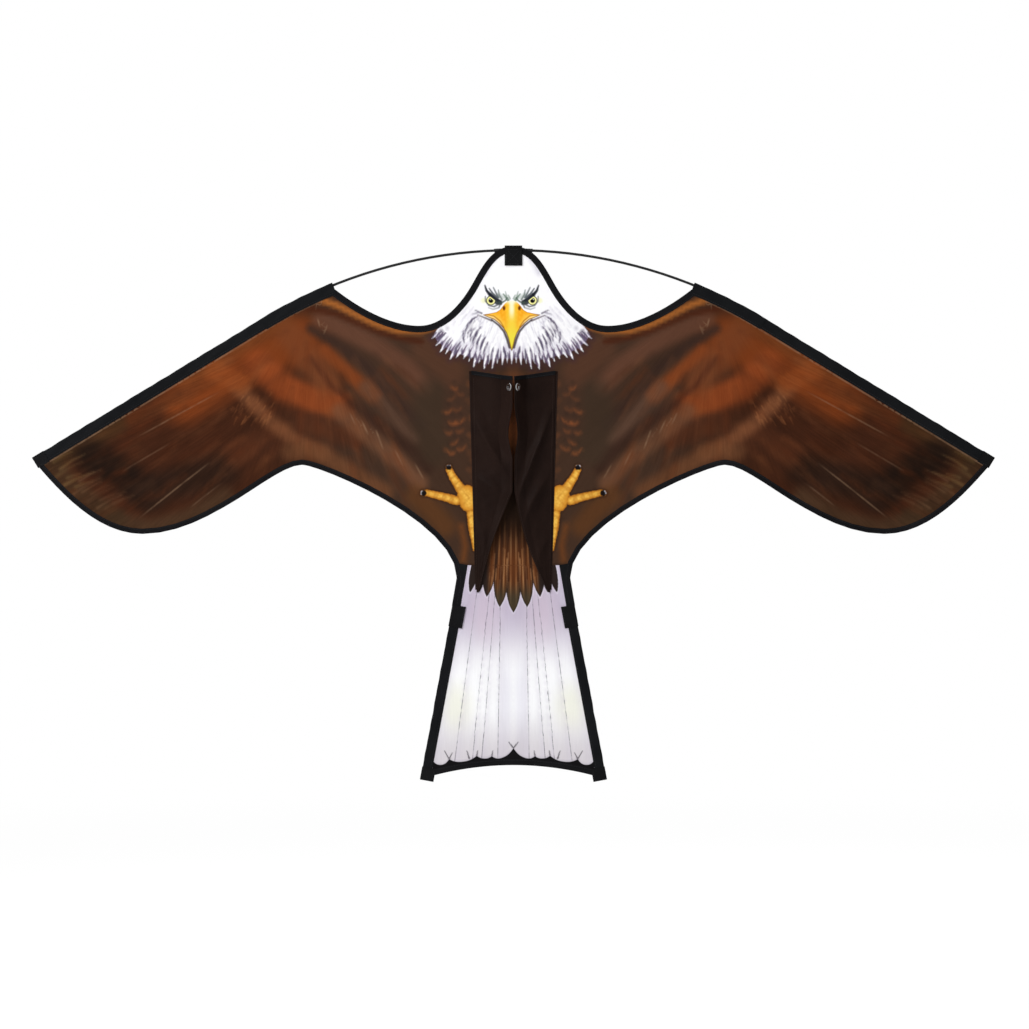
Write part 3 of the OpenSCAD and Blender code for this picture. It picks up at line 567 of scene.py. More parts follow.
bodyInks = {"belly": (64, 45, 34), "outer": (60, 32, 19), "tipHairs": ((124, 100, 62), (114, 84, 60)),
            "bristle": (178, 112, 66), "breast": (138, 76, 42), "breastGap": (42, 32, 28),
            "tip": (122, 70, 41), "gap": (42, 31, 26), "rust": (160, 92, 56), "rustStreak": (172, 100, 60),
            # under is the colour of a painted shadow at the top of the opening between the keel flaps
            "darkStreak": (64, 40, 28), "under": (28, 19, 14), "headShade": (62, 40, 46),
            "footShade": (40, 24, 16)}
brush = {"count": 300, "span": (112, 440), "middle": ((112, 230, 440), (-30, -5, -85)), "spread": 62,
         "bend": 3, "length": (16, 44), "half": (1.6, 3.4), "share": (0.06, 0.17),
         "dark": (40, 24, 17), "pale": (132, 80, 47), "paleOuter": (92, 58, 36), "rust": (108, 48, 21)}
wingInkAndFoldShade = [  # colour, strength, half width, softness, path; the later ones lie on top
    ((116, 55, 23), 0.95, 21, 26, [(213, 48), (263, 28), (308, 0), (328, -12)]),
    ((106, 56, 27), 0.80, 8, 14, [(228, 68), (283, 36), (326, 9)]),
    ((86, 43, 21), 0.70, 7, 13, [(338, -6), (380, -30)]),
    ((64, 44, 25), 0.80, 8, 14, [(395, -36), (450, -68)]),
    ((29, 19, 14), 0.95, 14, 20, [(422, -68), (395, -82), (363, -107)]),
    ((40, 26, 19), 0.85, 14, 20, [(363, -102), (323, -92), (288, -82)]),
    ((74, 40, 24), 0.80, 12, 20, [(273, -67), (248, -54)]),
    ((68, 48, 33), 0.85, 8, 14, [(398, -132), (363, -141), (323, -130), (288, -109)]),
    ((60, 43, 28), 0.75, 8, 12, [(458, -78), (441, -98), (418, -116), (395, -130)]),
    ((120, 73, 46), 0.80, 6, 11, [(277, 3), (263, -12), (243, -33), (217, -53), (192, -66)]),
    ((132, 66, 30), 0.80, 9, 12, [(297, 16), (273, 5)]),
    ((134, 64, 30), 0.90, 12, 13, [(254, 24), (228, 0), (198, -12), (173, -18)]),
    ((86, 40, 20), 0.22, 5, 10, [(281, 26), (266, 20), (247, 4), (225, -17), (202, -32), (178, -52)]),
    ((76, 42, 26), 0.80, 8, 11, [(208, -37), (183, -40), (158, -52)]),
    ((104, 65, 41), 0.80, 7, 12, [(223, -64), (193, -64), (163, -84), (128, -104)]),
    # the next two bands are print and also painted light and shade of the cloth's slanting folds: the first a
    # painted highlight, the second a painted shade
    ((98, 63, 47), 0.80, 8, 12, [(191, 67), (156, 52), (133, 40), (106, 21), (89, 2)]),
    ((56, 39, 32), 0.90, 4, 9, [(202, 58), (182, 47), (163, 34), (145, 20), (128, 0), (108, -22), (91, -37)]),
    ((128, 62, 28), 0.85, 6, 9, [(188, 36), (173, 22), (155, 6), (139, -9)]),
    ((92, 66, 52), 0.70, 6, 10, [(147, 0), (133, -14), (118, -32), (101, -52)]),
    ((112, 60, 33), 0.80, 12, 16, [(222, 52), (200, 24), (182, 4)]),
    ((74, 38, 24), 0.75, 1.6, 6, [(202, 30), (182, 2), (160, -17)]),
    ((54, 35, 27), 0.85, 5, 10, [(160, -17), (138, -34), (116, -50), (100, -62), (86, -80)]),
    ((112, 74, 52), 0.75, 7, 11, [(173, -24), (156, -39), (133, -58), (113, -75), (93, -95)]),
    ((92, 56, 30), 0.75, 9, 15, [(97, -108), (80, -124), (68, -138)]),
    ((112, 63, 30), 0.75, 2, 8, [(52, -138), (48, -158), (50, -172)]),
    ((58, 45, 34), 0.65, 14, 18, [(81, -7), (85, -37), (78, -62)]),
    ((68, 46, 35), 0.50, 10, 12, [(58, 0), (56, -40)]),
    ((88, 56, 40), 0.60, 12, 16, [(88, 38), (62, 16)]),
    ((70, 33, 18), 0.85, 2.4, 5, [(206, 79), (175, 73), (156, 64.5), (133, 55), (112, 49), (92, 46)]),
    ((160, 94, 42), 0.95, 2.6, 5, [(194, 88), (175, 81.5), (156, 72), (136, 62.5), (113, 56), (92, 56),
                                   (70, 62)]),
]
paleHairs = [  # strength, start and end of thin marks in the plumage
    (0.30, (302, -74), (374, -131)), (0.24, (292, -4), (374, -49)), (0.13, (341, -55), (390, -84)),
    (0.50, (137, -42), (130, -61)), (0.40, (151, -33), (145, -46)), (0.28, (98, -76), (89, -92)),
    (0.42, (195, 69), (193, 61)), (0.34, (185, 63), (189, 53)), (0.30, (163, -25), (157, -38)),
    (0.26, (118, -62), (110, -78)), (0.18, (292, -96), (322, -120)),
]
tipHairs = [(458, -74), (451, -81), (455, -88), (444, -90), (447, -97), (436, -99), (438, -106), (429, -104),
            (420, -106), (424, -114), (412, -112), (406, -121), (398, -116), (466, -67), (432, -93),
            (414, -120)]
bristles = {"count": 46, "low": (240, -40), "high": (284, -8)}
breastSpots = [(60.6, 2.7), (54.5, -4), (60.6, -9), (55.4, -18), (63, -21), (52.6, -30), (60, -33),
               (53.4, -42), (64.7, -44), (59, -51), (52, -56), (63, -60)]
belly = {"rows": 15, "top": 14, "step": 8.6, "columns": 5, "gap": 9.4, "streaks": 18}

headInks = {"white": (250, 249, 252), "pointRim": (156, 140, 170), "notch": (80, 60, 86),
            "hair": (128, 120, 144), "mark": (80, 71, 94), "tuft": (255, 254, 255),
            "eyeCorner": (240, 240, 176)}
headWashes = [  # colour, strength, half width, softness and path of soft shades on the white
    ((184, 180, 196), 0.55, 1.0, 8, [(27, 114), (22, 124), (16, 132)]),
    ((182, 166, 196), 0.5, 1.4, 8, [(78, 55), (70, 44), (58, 36.5)]),
    ((126, 142, 130), 0.5, 0.6, 5, [(13, 92.5), (8, 89.6), (4, 89)]),
    ((178, 168, 194), 0.12, 8, 14, [(38, 66), (44, 52), (36, 36)]),
    ((182, 174, 198), 0.30, 4, 8, [(0, 40), (9, 38), (6, 30)]),
]
headWisps = [  # tip and half width of the points along the lower edge
    ((79.6, 48.6), 4.2), ((75.6, 41.5), 4.0), ((71.4, 35.4), 4.2), ((66.0, 33.6), 3.4), ((61.5, 28.0), 4.6),
    ((55.5, 29.5), 3.8), ((48.0, 28.6), 4.8), ((42.8, 26.0), 3.0), ((38.2, 20.4), 4.6), ((33.0, 24.4), 3.2),
    ((27.7, 18.2), 4.4), ((23.3, 23.4), 2.8), ((19.6, 18.6), 3.4), ((14.6, 24.0), 3.6), ((9.4, 22.8), 3.4),
    ((4.6, 24.6), 3.2), ((0.0, 23.6), 3.4),
]
headEdge = [(0, 160), (62, 160), (62, 72), (64, 67), (69.5, 62.4), (74, 58), (77, 53), (75, 47.5), (69, 41.5),
            (60, 36), (50, 32.8), (38, 29.6), (26, 27), (13, 29), (0, 29)]
faceHairs = {"count": 190, "lean": (0.0, 0.78), "start": (58, 100), "curl": 1.2, "reach": (9, 14)}
faceTufts = {"count": 64, "lean": (0.04, 0.76), "start": (62, 94), "curl": 1.0, "reach": (8, 13)}
headStrokes = [  # half width, strength and path of the grey marks on the cheeks
    (1.0, 0.75, [(32.2, 72), (38.9, 68), (44, 61.8), (46.8, 53.3)]),
    (1.0, 0.75, [(33.3, 69), (38.9, 63.5), (42.9, 55.6), (44.6, 47.7)]),
    (1.1, 0.80, [(36.7, 61), (40.6, 53.3), (41.2, 44.3)]),
    (1.1, 0.80, [(33.3, 59), (37.8, 50), (38.9, 39.8)]),
    (1.0, 0.75, [(29.9, 54.5), (33.9, 46.6), (36.1, 37.5)]),
    (1.0, 0.75, [(25.4, 52), (29.3, 44.3), (32.2, 35.3)]),
    (1.0, 0.70, [(23.1, 46.6), (26.5, 38.7), (28.8, 30.8)]),
    (1.0, 0.75, [(17.5, 42), (19.8, 34), (20.9, 26.2)]),
    (0.9, 0.70, [(13, 39.8), (14.1, 33), (13.5, 25)]), (1.1, 0.70, [(8.5, 42), (7.3, 35.3), (4.5, 28.5)]),
    (0.8, 0.60, [(48, 57.8), (48.5, 50), (46.8, 43.2)]),
    (0.9, 0.55, [(59.3, 44.3), (62, 37.5), (63.2, 30.8)]),
    (0.9, 0.60, [(68.3, 47.7), (71.7, 41), (73.4, 34)]),
    (0.8, 0.55, [(73.9, 55.6), (77.9, 52.2), (79.6, 47.7)]),
    (0.8, 0.55, [(49, 39.8), (50.2, 33)]), (0.8, 0.55, [(54.7, 39.8), (56.4, 30.8)]),
    (0.9, 0.65, [(42.3, 39.8), (41.8, 30.8), (40, 25)]), (0.9, 0.65, [(36, 35.3), (35, 26)]),
    (0.9, 0.65, [(31, 33), (29.9, 25)]), (0.9, 0.65, [(24.3, 33), (23.1, 24)]),
    (1.0, 0.60, [(50, 47), (55.5, 39), (58.5, 31.5)]), (1.0, 0.65, [(59, 51), (65, 43.5), (69, 36.5)]),
    (1.1, 0.70, [(64, 56), (71, 49.5), (75.5, 42)]), (1.0, 0.70, [(63, 60.5), (71, 55.5), (77.4, 48.0)]),
    (0.8, 0.55, [(41, 64), (46, 56), (49, 46)]), (0.8, 0.60, [(30, 62), (34, 55), (37, 46)]),
    (0.8, 0.50, [(4, 36), (3, 28)]),
]
faceStrokes = [  # half width at each end, strength, colour and path
    (0.5, 1.6, 0.97, (36, 38, 46), [(26.7, 101.5), (25.0, 96.4), (21.6, 92.4)]),
    (1.6, 1.5, 0.97, (34, 36, 44), [(21.6, 92.4), (16.6, 88.4), (11.2, 85.2)]),
    (0.5, 1.1, 0.85, (62, 68, 74), [(22.4, 98.5), (18.8, 93.4), (14.6, 89.4)]),
    (0.4, 1.0, 0.80, (84, 92, 94), [(18.3, 99.5), (15.6, 94), (13.2, 89.6)]),
    (0.4, 0.9, 0.75, (98, 110, 104), [(13.4, 97), (12.4, 92), (9.8, 87.6)]),
    (0.5, 1.2, 0.75, (92, 116, 98), [(8.4, 93), (5.4, 89.6), (3.6, 86.8)]),
    (0.4, 0.8, 0.60, (120, 138, 122), [(3.4, 92), (1.8, 88.4)]),
    (0.3, 0.7, 0.55, (110, 126, 114), [(6.4, 95.5), (5.2, 91.5)]),
    (0.4, 0.7, 0.75, (70, 74, 78), [(26.3, 90.6), (26.2, 86), (22.8, 81.6), (17.5, 80.5), (13, 82.9)]),
    (2.1, 1.2, 0.90, (44, 50, 54), [(15.0, 84.8), (10.8, 83.4)]),
    (0.9, 0.4, 0.80, (66, 80, 72), [(12.5, 84.8), (9.6, 84.6), (6.2, 86.6), (4.6, 89.4)]),
    (0.9, 0.5, 0.70, (74, 80, 80), [(11.6, 82.6), (12.8, 79.4)]),
    (0.4, 0.8, 0.55, (130, 130, 132), [(23.1, 79.4), (18.6, 77.8), (14.1, 79.0)]),
    (0.4, 0.8, 0.75, (96, 92, 104), [(36.5, 77), (30, 73.8)]),
    (0.4, 0.9, 0.60, (136, 130, 148), [(39.5, 72.6), (33.3, 74.6)]),
    (0.4, 1.0, 0.75, (96, 86, 94), [(33.5, 72), (27, 69.4), (20, 66.6)]),
    (0.7, 1.3, 0.85, (62, 52, 56), [(20, 67.4), (12.6, 61.6), (7.6, 55.6), (4.6, 48.4), (2.0, 40)]),
]
eyeAt, glintAt, eyeCornerAt, nostrilAt = (20.7, 86.6), (21.5, 87.6), (27.5, 86.5), (7.7, 79)
beakInks = {"base": (247, 170, 36), "fleck": (255, 190, 60), "ridge": (246, 214, 72), "hook": (238, 220, 70),
            "shine": (253, 248, 210), "brow": (246, 246, 232), "rim": (108, 68, 26), "nostril": (96, 44, 20)}
beakWashes = [((253, 204, 84), 0.75, 1.6, 4.5, [(24, 72), (14, 70.5), (9, 63)])]
beakStrokes = [  # the lit lip and the dark line of the mouth
    (0.5, 0.4, 0.70, (255, 246, 200), [(28.5, 71.8), (18, 69.6), (11.4, 63.8), (6.6, 55)]),
    (0.3, 0.6, 0.75, (176, 104, 20), [(27, 72.6), (18, 71.2), (12, 66.4), (8, 60)]),
]
beakLine = [(0, 86.6), (3.4, 86.2), (5.8, 84.6), (8.6, 81.4), (11.6, 77.4), (15.4, 75), (23, 73.4),
            (29.2, 72.4), (23.2, 69.6), (17.5, 67.4), (13, 63.6), (8.6, 59), (5.7, 54.4), (3.5, 48.6),
            (1.9, 42), (0.8, 37.4), (0, 36.2)]

footInks = {"skin": (208, 140, 46), "lit": (249, 206, 96), "crease": (172, 104, 34), "rim": (138, 78, 22),
            "claw": (22, 17, 17), "clawShine": (196, 198, 208)}
footWashes = [((184, 112, 34), 0.5, 0.4, 3.0, [(52, -101), (44, -110), (50, -117)])]
toes = [  # path, half width at each end and number of creases
    ([(64, -82), (60, -90), (51, -103)], (3.3, 5.2), 24),
    ([(87, -105), (73, -108), (57, -112.5)], (3.3, 4.6), 24),
    ([(46.5, -106.5), (44.5, -114.5)], (9.4, 9.2), 0),
    ([(42.4, -126), (41.0, -142), (38.0, -161)], (4.3, 2.4), 20),
]
claws = [((64.3, -79.4), 3.0, (0.3, 0.95)), ((89.6, -105.2), 3.2, (0.9, 0.45))]  # place, size, way to the tip

coverts = [  # tip, root and half width of the feathers over the root of the tail
    ((43.4, -204.3), (35, -165), 4.4), ((34, -204), (31, -165), 4.6), ((26.6, -208.6), (22, -160), 6.5),
    ((13.7, -218.8), (11.5, -165), 7.4), ((0, -224.3), (0, -170), 7.6),
]
# root holds the near black of a painted shadow under the keel flaps, and outer a painted shade beside their
# edges
covertInks = {"base": (94, 52, 27), "hairs": ((50, 30, 22), (186, 134, 88)), "outer": (42, 33, 30),
              "tips": (60, 56, 44), "root": (24, 15, 10), "rim": (36, 28, 26)}
covertBands = [  # place, half width, colour and strength of the stripes
    (0.0, 0.9, (74, 42, 25), 0.6), (5.8, 1.6, (58, 33, 21), 0.85), (11.9, 1.1, (54, 33, 24), 0.8),
    (17.2, 1.4, (48, 32, 25), 0.8), (2.6, 0.40, (196, 146, 98), 0.65), (9.3, 0.45, (200, 150, 100), 0.70),
    (14.6, 0.4, (166, 120, 80), 0.55), (20.2, 0.4, (128, 96, 72), 0.5),
]
covertSpread = 0.0022  # the stripes spread by this share for each unit towards the tail
covertHairs = [(dice.uniform(3.4, 24), dice.uniform(-196, -140), dice.uniform(16, 36), dice.uniform(0.2, 0.5),
                k % 2) for k in range(40)]  # across, along, length, strength and tone

tailInks = {"white": (250, 250, 252), "root": (188, 177, 197), "quill": (222, 219, 233),
            "hem": (184, 174, 182), "overlap": (204, 198, 212), "mark": (46, 43, 48),
            "scallop": (186, 180, 190), "halo": (246, 244, 248)}
tailGlows = [((28, -226), 0.6, (212, 194, 208)), ((58, -318), 0.7, (236, 236, 212))]  # place, squash, colour
tailLines = [(13.6, 15.5), (21, 31), (27.4, 39.8), (41, 57), (54, 78)]  # at the top and at the hem
tailCusps = [(0, -359.1, 5.4), (21.5, -367.0, 2.6), (36.5, -366.6, 4.2), (64, -370.0, 5.4),
             (81, -370.6, 0)]  # place, and depth of the scallop after it
tailMarks = [
    [(0, -359.1), (4.6, -353.1)], [(64, -370.0), (68.6, -362.1)], [(64, -370.0), (61, -363.6)],
    [(36.5, -366.6), (35.6, -361.6)], [(21.5, -367.0), (20.6, -362.1)], [(44, -369.6), (46.4, -361.6)],
]


def fill(q, colour):
    return np.tile(np.array(colour, float), (len(q), 1))


def layOn(under, share, colour):
    return under + np.asarray(share)[:, None] * (np.asarray(colour, float) - under)


def withAlpha(colour):
    return np.concatenate([toLinear(np.clip(colour, 0, 255)), np.ones((len(colour), 1))], 1)


def softMark(away, half, soft):
    return fadeOut(away, half - soft * 0.4, half + soft * 0.6)


def taper(q, path, first, last, soft=0.9):  # a brush mark that narrows or widens along its path
    away, t = pathReach(q, path)
    return softMark(away, first + (last - first) * t, soft)


def quill(q, path, half, soft=0.9):  # a brush mark with both ends drawn out thin
    away, t = pathReach(q, path)
    wide = half * (1 - np.abs(2 * t - 1) ** 2)
    return softMark(away, wide, soft) * eased(wide, 0, half * 0.5)


def washOver(q, ground, washes):
    for colour, share, half, soft, path in washes:
        ground = layOn(ground, share * taper(q, path, half, half, soft), colour)
    return ground


def strokeOver(q, ground, strokes, soft=0.9):
    for first, last, share, colour, path in strokes:
        ground = layOn(ground, share * taper(q, path, first, last, soft), colour)
    return ground


def mirrored(line):
    return line + [(-u, v) for u, v in reversed(line[1:-1])]


def foldedHalf(points, shift=0.0):  # both halves of the print are one drawing
    return np.stack([np.abs(points[:, 0] / printScale + shift), points[:, 1] / printScale], 1)


def featherReach(q, tip, root, half, power=2.0):  # inside of a pointed feather, and the share towards its tip
    root = np.asarray(root, float)
    step = np.asarray(tip, float) - root
    length = np.hypot(*step)
    t = ((q - root) @ step) / length ** 2
    off = np.abs((q - root) @ np.array([-step[1], step[0]]) / length)
    wide = half * (1 - np.clip(t, 0, 1) ** power)
    past = np.hypot(off, np.where(t > 1, t - 1, -t) * length)
    return np.where((t >= 0) & (t <= 1), wide - off, -past), t, off / half


def fanFlow(q, origin, width):  # along and across the feathers that spread from one place
    step = q - origin
    return np.stack([np.hypot(*step.T), np.arctan2(step[:, 0], -step[:, 1]) * width, np.zeros(len(q))], 1)


def covertInk(q):  # striped feathers over the root of the tail
    u, v = q.T
    colour = fill(q, covertInks["base"])
    sway = 1 + covertSpread * (-170 - v) + 0.012 * np.sin(v * 0.09)
    for at, half, band, share in covertBands:
        shown = share * (0.68 + 0.32 * np.sin(v * 0.12 + at * 5.3))
        colour = layOn(colour, shown * fadeOut(np.abs(u - at * sway), half - 0.2, half + 0.6), band)
    for across, along, length, share, tone in covertHairs:
        path = [(across, along), (across * (1 + covertSpread * length) + 0.6, along - length)]
        colour = layOn(colour, share * taper(q, path, 0.5, 0.1), covertInks["hairs"][tone])
    # painted shade: darker away from the middle, beside the edges of the keel flaps
    colour = layOn(colour, eased(u, 21, 28), covertInks["outer"])
    colour = layOn(colour, 0.8 * eased(-v, 190, 212) * fadeOut(u, 20, 30), covertInks["tips"])
    # painted shadow: near black towards the top, where the keel flaps shade the opening between them
    return layOn(colour, 0.92 * fadeOut(-v, 122, 178), covertInks["root"])


def fanHair(kind):  # a bent hair that points away from the crown
    lean, start = dice.uniform(*kind["lean"]), dice.uniform(*kind["start"])
    way = np.array([math.sin(lean), -math.cos(lean)])
    bend = np.array([way[1], -way[0]]) * dice.uniform(-kind["curl"], kind["curl"])
    end = start + dice.uniform(*kind["reach"])
    return lean, [crown + way * start, crown + way * (start + 5) + bend, crown + way * end]


def paintHead(q):
    u, v = q.T
    white = washOver(q, fill(q, headInks["white"]), headWashes)
    edge = insideReach(q, mirrored(headEdge))
    for tip, half in headWisps:  # ragged row of points along the lower edge
        reach, t, off = featherReach(q, tip, tip - unit(tip - crown) * 22, half, 1.7)
        rim = np.where(reach > -0.6, eased(off, 0.3, 0.85) * eased(t, 0.1, 0.6), 0)
        white = layOn(white, 0.42 * rim, headInks["pointRim"])
        edge = np.maximum(edge, reach)
    for (a, _), (b, _) in zip(headWisps, headWisps[1:]):  # dark gaps between the points
        notch = np.add(a, b) / 2
        way = unit(crown - notch)
        gap = taper(q, [notch + way, notch + way * (12 + notch[0] * 0.06)], 1.6, 0.1)
        white = layOn(white, 0.88 * gap, headInks["notch"])
    for k in range(faceHairs["count"]):  # fine hairs all over, denser on the cheeks
        lean, path = fanHair(faceHairs)
        share = 0.07 + 0.15 * math.exp(-((lean - 0.46) / 0.14) ** 2)
        white = layOn(white, share * taper(q, path, 0.6, 0.1), headInks["hair"])
    for half, share, path in headStrokes:
        white = layOn(white, (share + 0.15) * quill(q, path, half * 1.05), headInks["mark"])
    for k in range(faceTufts["count"]):  # bright tufts that break the grey marks
        path = fanHair(faceTufts)[1]
        white = layOn(white, dice.uniform(0.4, 0.8) * taper(q, path, 1.0, 0.15), headInks["tuft"])
    corner = np.hypot((u - eyeCornerAt[0]) * 0.8, v - eyeCornerAt[1])
    white = layOn(white, 0.65 * fadeOut(corner, 1.0, 4.0), headInks["eyeCorner"])
    return strokeOver(q, white, faceStrokes, 1.1), edge


def eyeReaches(q):  # the brow cuts off the top of the round eye
    u, v = q.T
    brow = (v - 90.2) - 0.79 * (u - eyeAt[0])
    eye = np.maximum(np.hypot(u - eyeAt[0], v - eyeAt[1]), 4.5 + brow * 1.3)
    return eye, np.hypot(u - glintAt[0], v - glintAt[1])


def paintBeak(q):
    u, v = q.T
    edge = insideReach(q, mirrored(beakLine))
    fleck = np.sin(u * 1.3 + v * 0.5) * np.sin(v * 0.7 - u * 0.4)
    yolk = layOn(fill(q, beakInks["base"]), 0.5 * eased(fleck, 0.0, 0.9), beakInks["fleck"])
    yolk = washOver(q, yolk, beakWashes)
    yolk = layOn(yolk, 0.85 * fadeOut(u, 1.0, 8.5), beakInks["ridge"])
    yolk = layOn(yolk, eased(-v, -66, -48), beakInks["hook"])
    yolk = layOn(yolk, 0.95 * fadeOut(u, 0.6, 4.0) * eased(v, 64, 78), beakInks["shine"])
    yolk = layOn(yolk, 0.85 * eased(v, 81.5, 86.5), beakInks["brow"])
    yolk = strokeOver(q, yolk, beakStrokes)
    under = fadeOut(v - 0.25 * u, 62, 70)
    rim = (0.35 + 0.6 * under) * fadeOut(v, 79, 84) * fadeOut(edge, 0.2, 0.9 + 0.5 * under)
    yolk = layOn(yolk, rim, beakInks["rim"])
    hole = np.hypot((u - nostrilAt[0]) / 1.6, (v - nostrilAt[1]) / 2.5)
    return layOn(yolk, 0.95 * fadeOut(hole, 0.55, 1.15), beakInks["nostril"]), edge


def paintFeet(q):
    u, v = q.T
    skin = fill(q, footInks["skin"])
    edge = np.full(len(q), -60.0)
    grain = np.sin(u * 1.1 + 1.4 * np.sin(v * 0.8)) * np.sin(v * 1.3 + 1.1 * np.sin(u * 0.9))
    for path, (first, last), rings in toes:
        away, t = pathReach(q, path)
        half = first + (last - first) * t
        edge = np.maximum(edge, half - away)
        near = eased(half - away, -0.5, 1.5)
        skin = layOn(skin, near * (0.6 + 0.3 * grain) * fadeOut(away / half, 0.1, 0.9), footInks["lit"])
        crease = 0.5 + 0.5 * np.sin(t * rings + 0.8 * np.sin(u * 0.7 + v * 0.5))
        deep = 0.38 if rings else 0.0
        skin = layOn(skin, near * deep * eased(crease, 0.55, 1.0), footInks["crease"])
    edge = edge + 0.4 * grain
    skin = washOver(q, skin, footWashes)
    skin = layOn(skin, 0.65 * fadeOut(edge, 0.0, 1.9), footInks["rim"])
    for (cu, cv), size, way in claws:
        away = np.hypot(u - cu, v - cv)
        edge = np.maximum(edge, size - away)
        inside = fadeOut(away, size - 0.3, size + 0.2)
        skin = layOn(skin, inside, footInks["claw"])
        lit = eased(((u - cu) * way[0] + (v - cv) * way[1]) / size, 0.1, 0.6)
        rim = fadeOut(np.abs(away - size + 0.7), 0.1, 0.6) * lit
        skin = layOn(skin, inside * rim * 0.9, footInks["clawShine"])
    return skin, edge


def drawnLines(q, lines):  # signed distance to the nearest drawn line, and its strength there
    best = np.full(len(q), 99.0)
    marks = np.zeros((len(q), 3))
    for share, first, last in lines:
        way = unit(np.subtract(last, first))
        away, t = pathReach(q, [first, last])
        side = (q - first) @ np.array([-way[1], way[0]])
        closer = away < best
        best[closer] = away[closer]
        shown = share * (1 - np.abs(2 * t - 1) ** 3) * fadeOut(away, 2.4, 4.6)
        marks[closer, 0], marks[closer, 1] = side[closer], shown[closer]
    rim = (pathReach(q * printScale, sparPath)[0] - 11.3) / printScale  # pale edge beside the leading sleeve
    closer = (np.abs(rim) < np.minimum(best, 4.0)) & (q[:, 0] > 190)
    marks[closer, 0], marks[closer, 1] = rim[closer], 0.4 * fadeOut(np.abs(rim[closer]), 2.0, 4.0)
    return marks


def brushWork(q, ground):  # soft strokes along the feathers, lighter or darker than what they lie on
    for k in range(brush["count"]):
        at = dice.uniform(*brush["span"])
        middle = np.interp(at, *brush["middle"]) + dice.uniform(-brush["spread"], brush["spread"])
        start = np.array([at, middle])
        way = unit(start - (innerFan if at < 235 + dice.uniform(-25, 25) else outerFan))
        bend = np.array([-way[1], way[0]]) * dice.uniform(-brush["bend"], brush["bend"])
        step = way * dice.uniform(*brush["length"])
        tone = ("dark", "pale" if at < 320 else "paleOuter", "rust")[k % 3]
        path = [start, start + step * 0.5 + bend, start + step]
        mark = taper(q, path, dice.uniform(*brush["half"]), 0.4, 5.5)
        ground = layOn(ground, dice.uniform(*brush["share"]) * mark, brush[tone])
    return ground


def wingHairs(q, ground):  # pale hairs at the wing tips and short bristles at the wing's bend
    for k, (a, b) in enumerate(tipHairs):
        reach, lean = dice.uniform(12, 30), dice.uniform(0.3, 0.6)
        path = [(a, b), (a - reach * 0.5, b + reach * lean * 0.6), (a - reach, b + reach * lean)]
        share = dice.uniform(0.18, 0.4)
        ground = layOn(ground, share * taper(q, path, 1.5, 0.2, 2.8), bodyInks["tipHairs"][k >= 6])
    for k in range(bristles["count"]):
        a, b = dice.uniform(bristles["low"], bristles["high"])
        lean, length = dice.uniform(0.35, 0.7), dice.uniform(4, 10)
        end = (a - length * math.sin(lean), b + length * math.cos(lean))
        share = dice.uniform(0.08, 0.26)
        ground = layOn(ground, share * taper(q, [(a, b), end], 0.2, 0.5, 1.4), bodyInks["bristle"])
    return ground


def breastFeathers(q, ground):
    u, v = q.T
    for cu, cv in breastSpots:
        size, share, lean = dice.uniform(3.4, 5.6), dice.uniform(0.25, 0.6), dice.uniform(-0.5, 0.5)
        cu, cv = cu + dice.uniform(-2, 2), cv + dice.uniform(-2, 2)
        bend = np.hypot(u - cu - lean * (v - cv), (v - cv) * 0.8)
        scale = fadeOut(np.abs(bend - size * 0.75), 0.2, 2.6)  # the lit lower rim of one feather
        tip = eased(cv - v + lean * (u - cu), -1.5, 3.5) * np.maximum(scale, 0.45 * fadeOut(bend, 1, size))
        ground = layOn(ground, share * tip, bodyInks["breast"])
        gap = fadeOut(np.hypot(u - cu, v - cv - size), 0.5, 4.2)
        ground = layOn(ground, 0.45 * share * gap, bodyInks["breastGap"])
    return ground


def bellyFeathers(q, ground):  # rows of feather tips and a rusty middle, most of it under the flaps
    u, v = q.T
    for row in range(belly["rows"]):
        cv = belly["top"] - row * belly["step"]
        for column in range(belly["columns"]):
            cu = (column + 0.5 * (row % 2)) * belly["gap"] + dice.uniform(-1.2, 1.2)
            size, share = dice.uniform(4.2, 5.6), dice.uniform(0.16, 0.36)
            bend = np.hypot(u - cu - 0.6 * np.sin(v * 0.9), (v - cv) * 0.8)
            tip = eased(cv + 2 - v, -2, 3) * fadeOut(bend, size * 0.55, size * 1.25)
            ground = layOn(ground, share * tip, bodyInks["tip"])
            gap = fadeOut(np.hypot(u - cu, v - cv - size), 0.5, 4.5)
            ground = layOn(ground, 0.6 * share * gap, bodyInks["gap"])
    ground = layOn(ground, 0.60 * fadeOut(np.hypot(u / 11, (v + 30) / 52), 0.1, 1.5), bodyInks["rust"])
    for k in range(belly["streaks"]):
        start = np.array([dice.uniform(0, 10), dice.uniform(-40, 14)])
        away, t = pathReach(q, [start, start + (dice.uniform(-1, 3), -dice.uniform(24, 50))])
        mark = (1 - (2 * t - 1) ** 2) * fadeOut(away, 0.4, dice.uniform(2.4, 4.4))
        tone = "rustStreak" if k % 3 else "darkStreak"
        ground = layOn(ground, dice.uniform(0.2, 0.45) * mark, bodyInks[tone])
    # painted shadow: a dark patch where the keel flaps shade the top of the opening between them
    return layOn(ground, 0.88 * taper(q, [(0, -104), (0, -128)], 8, 8, 34), bodyInks["under"])


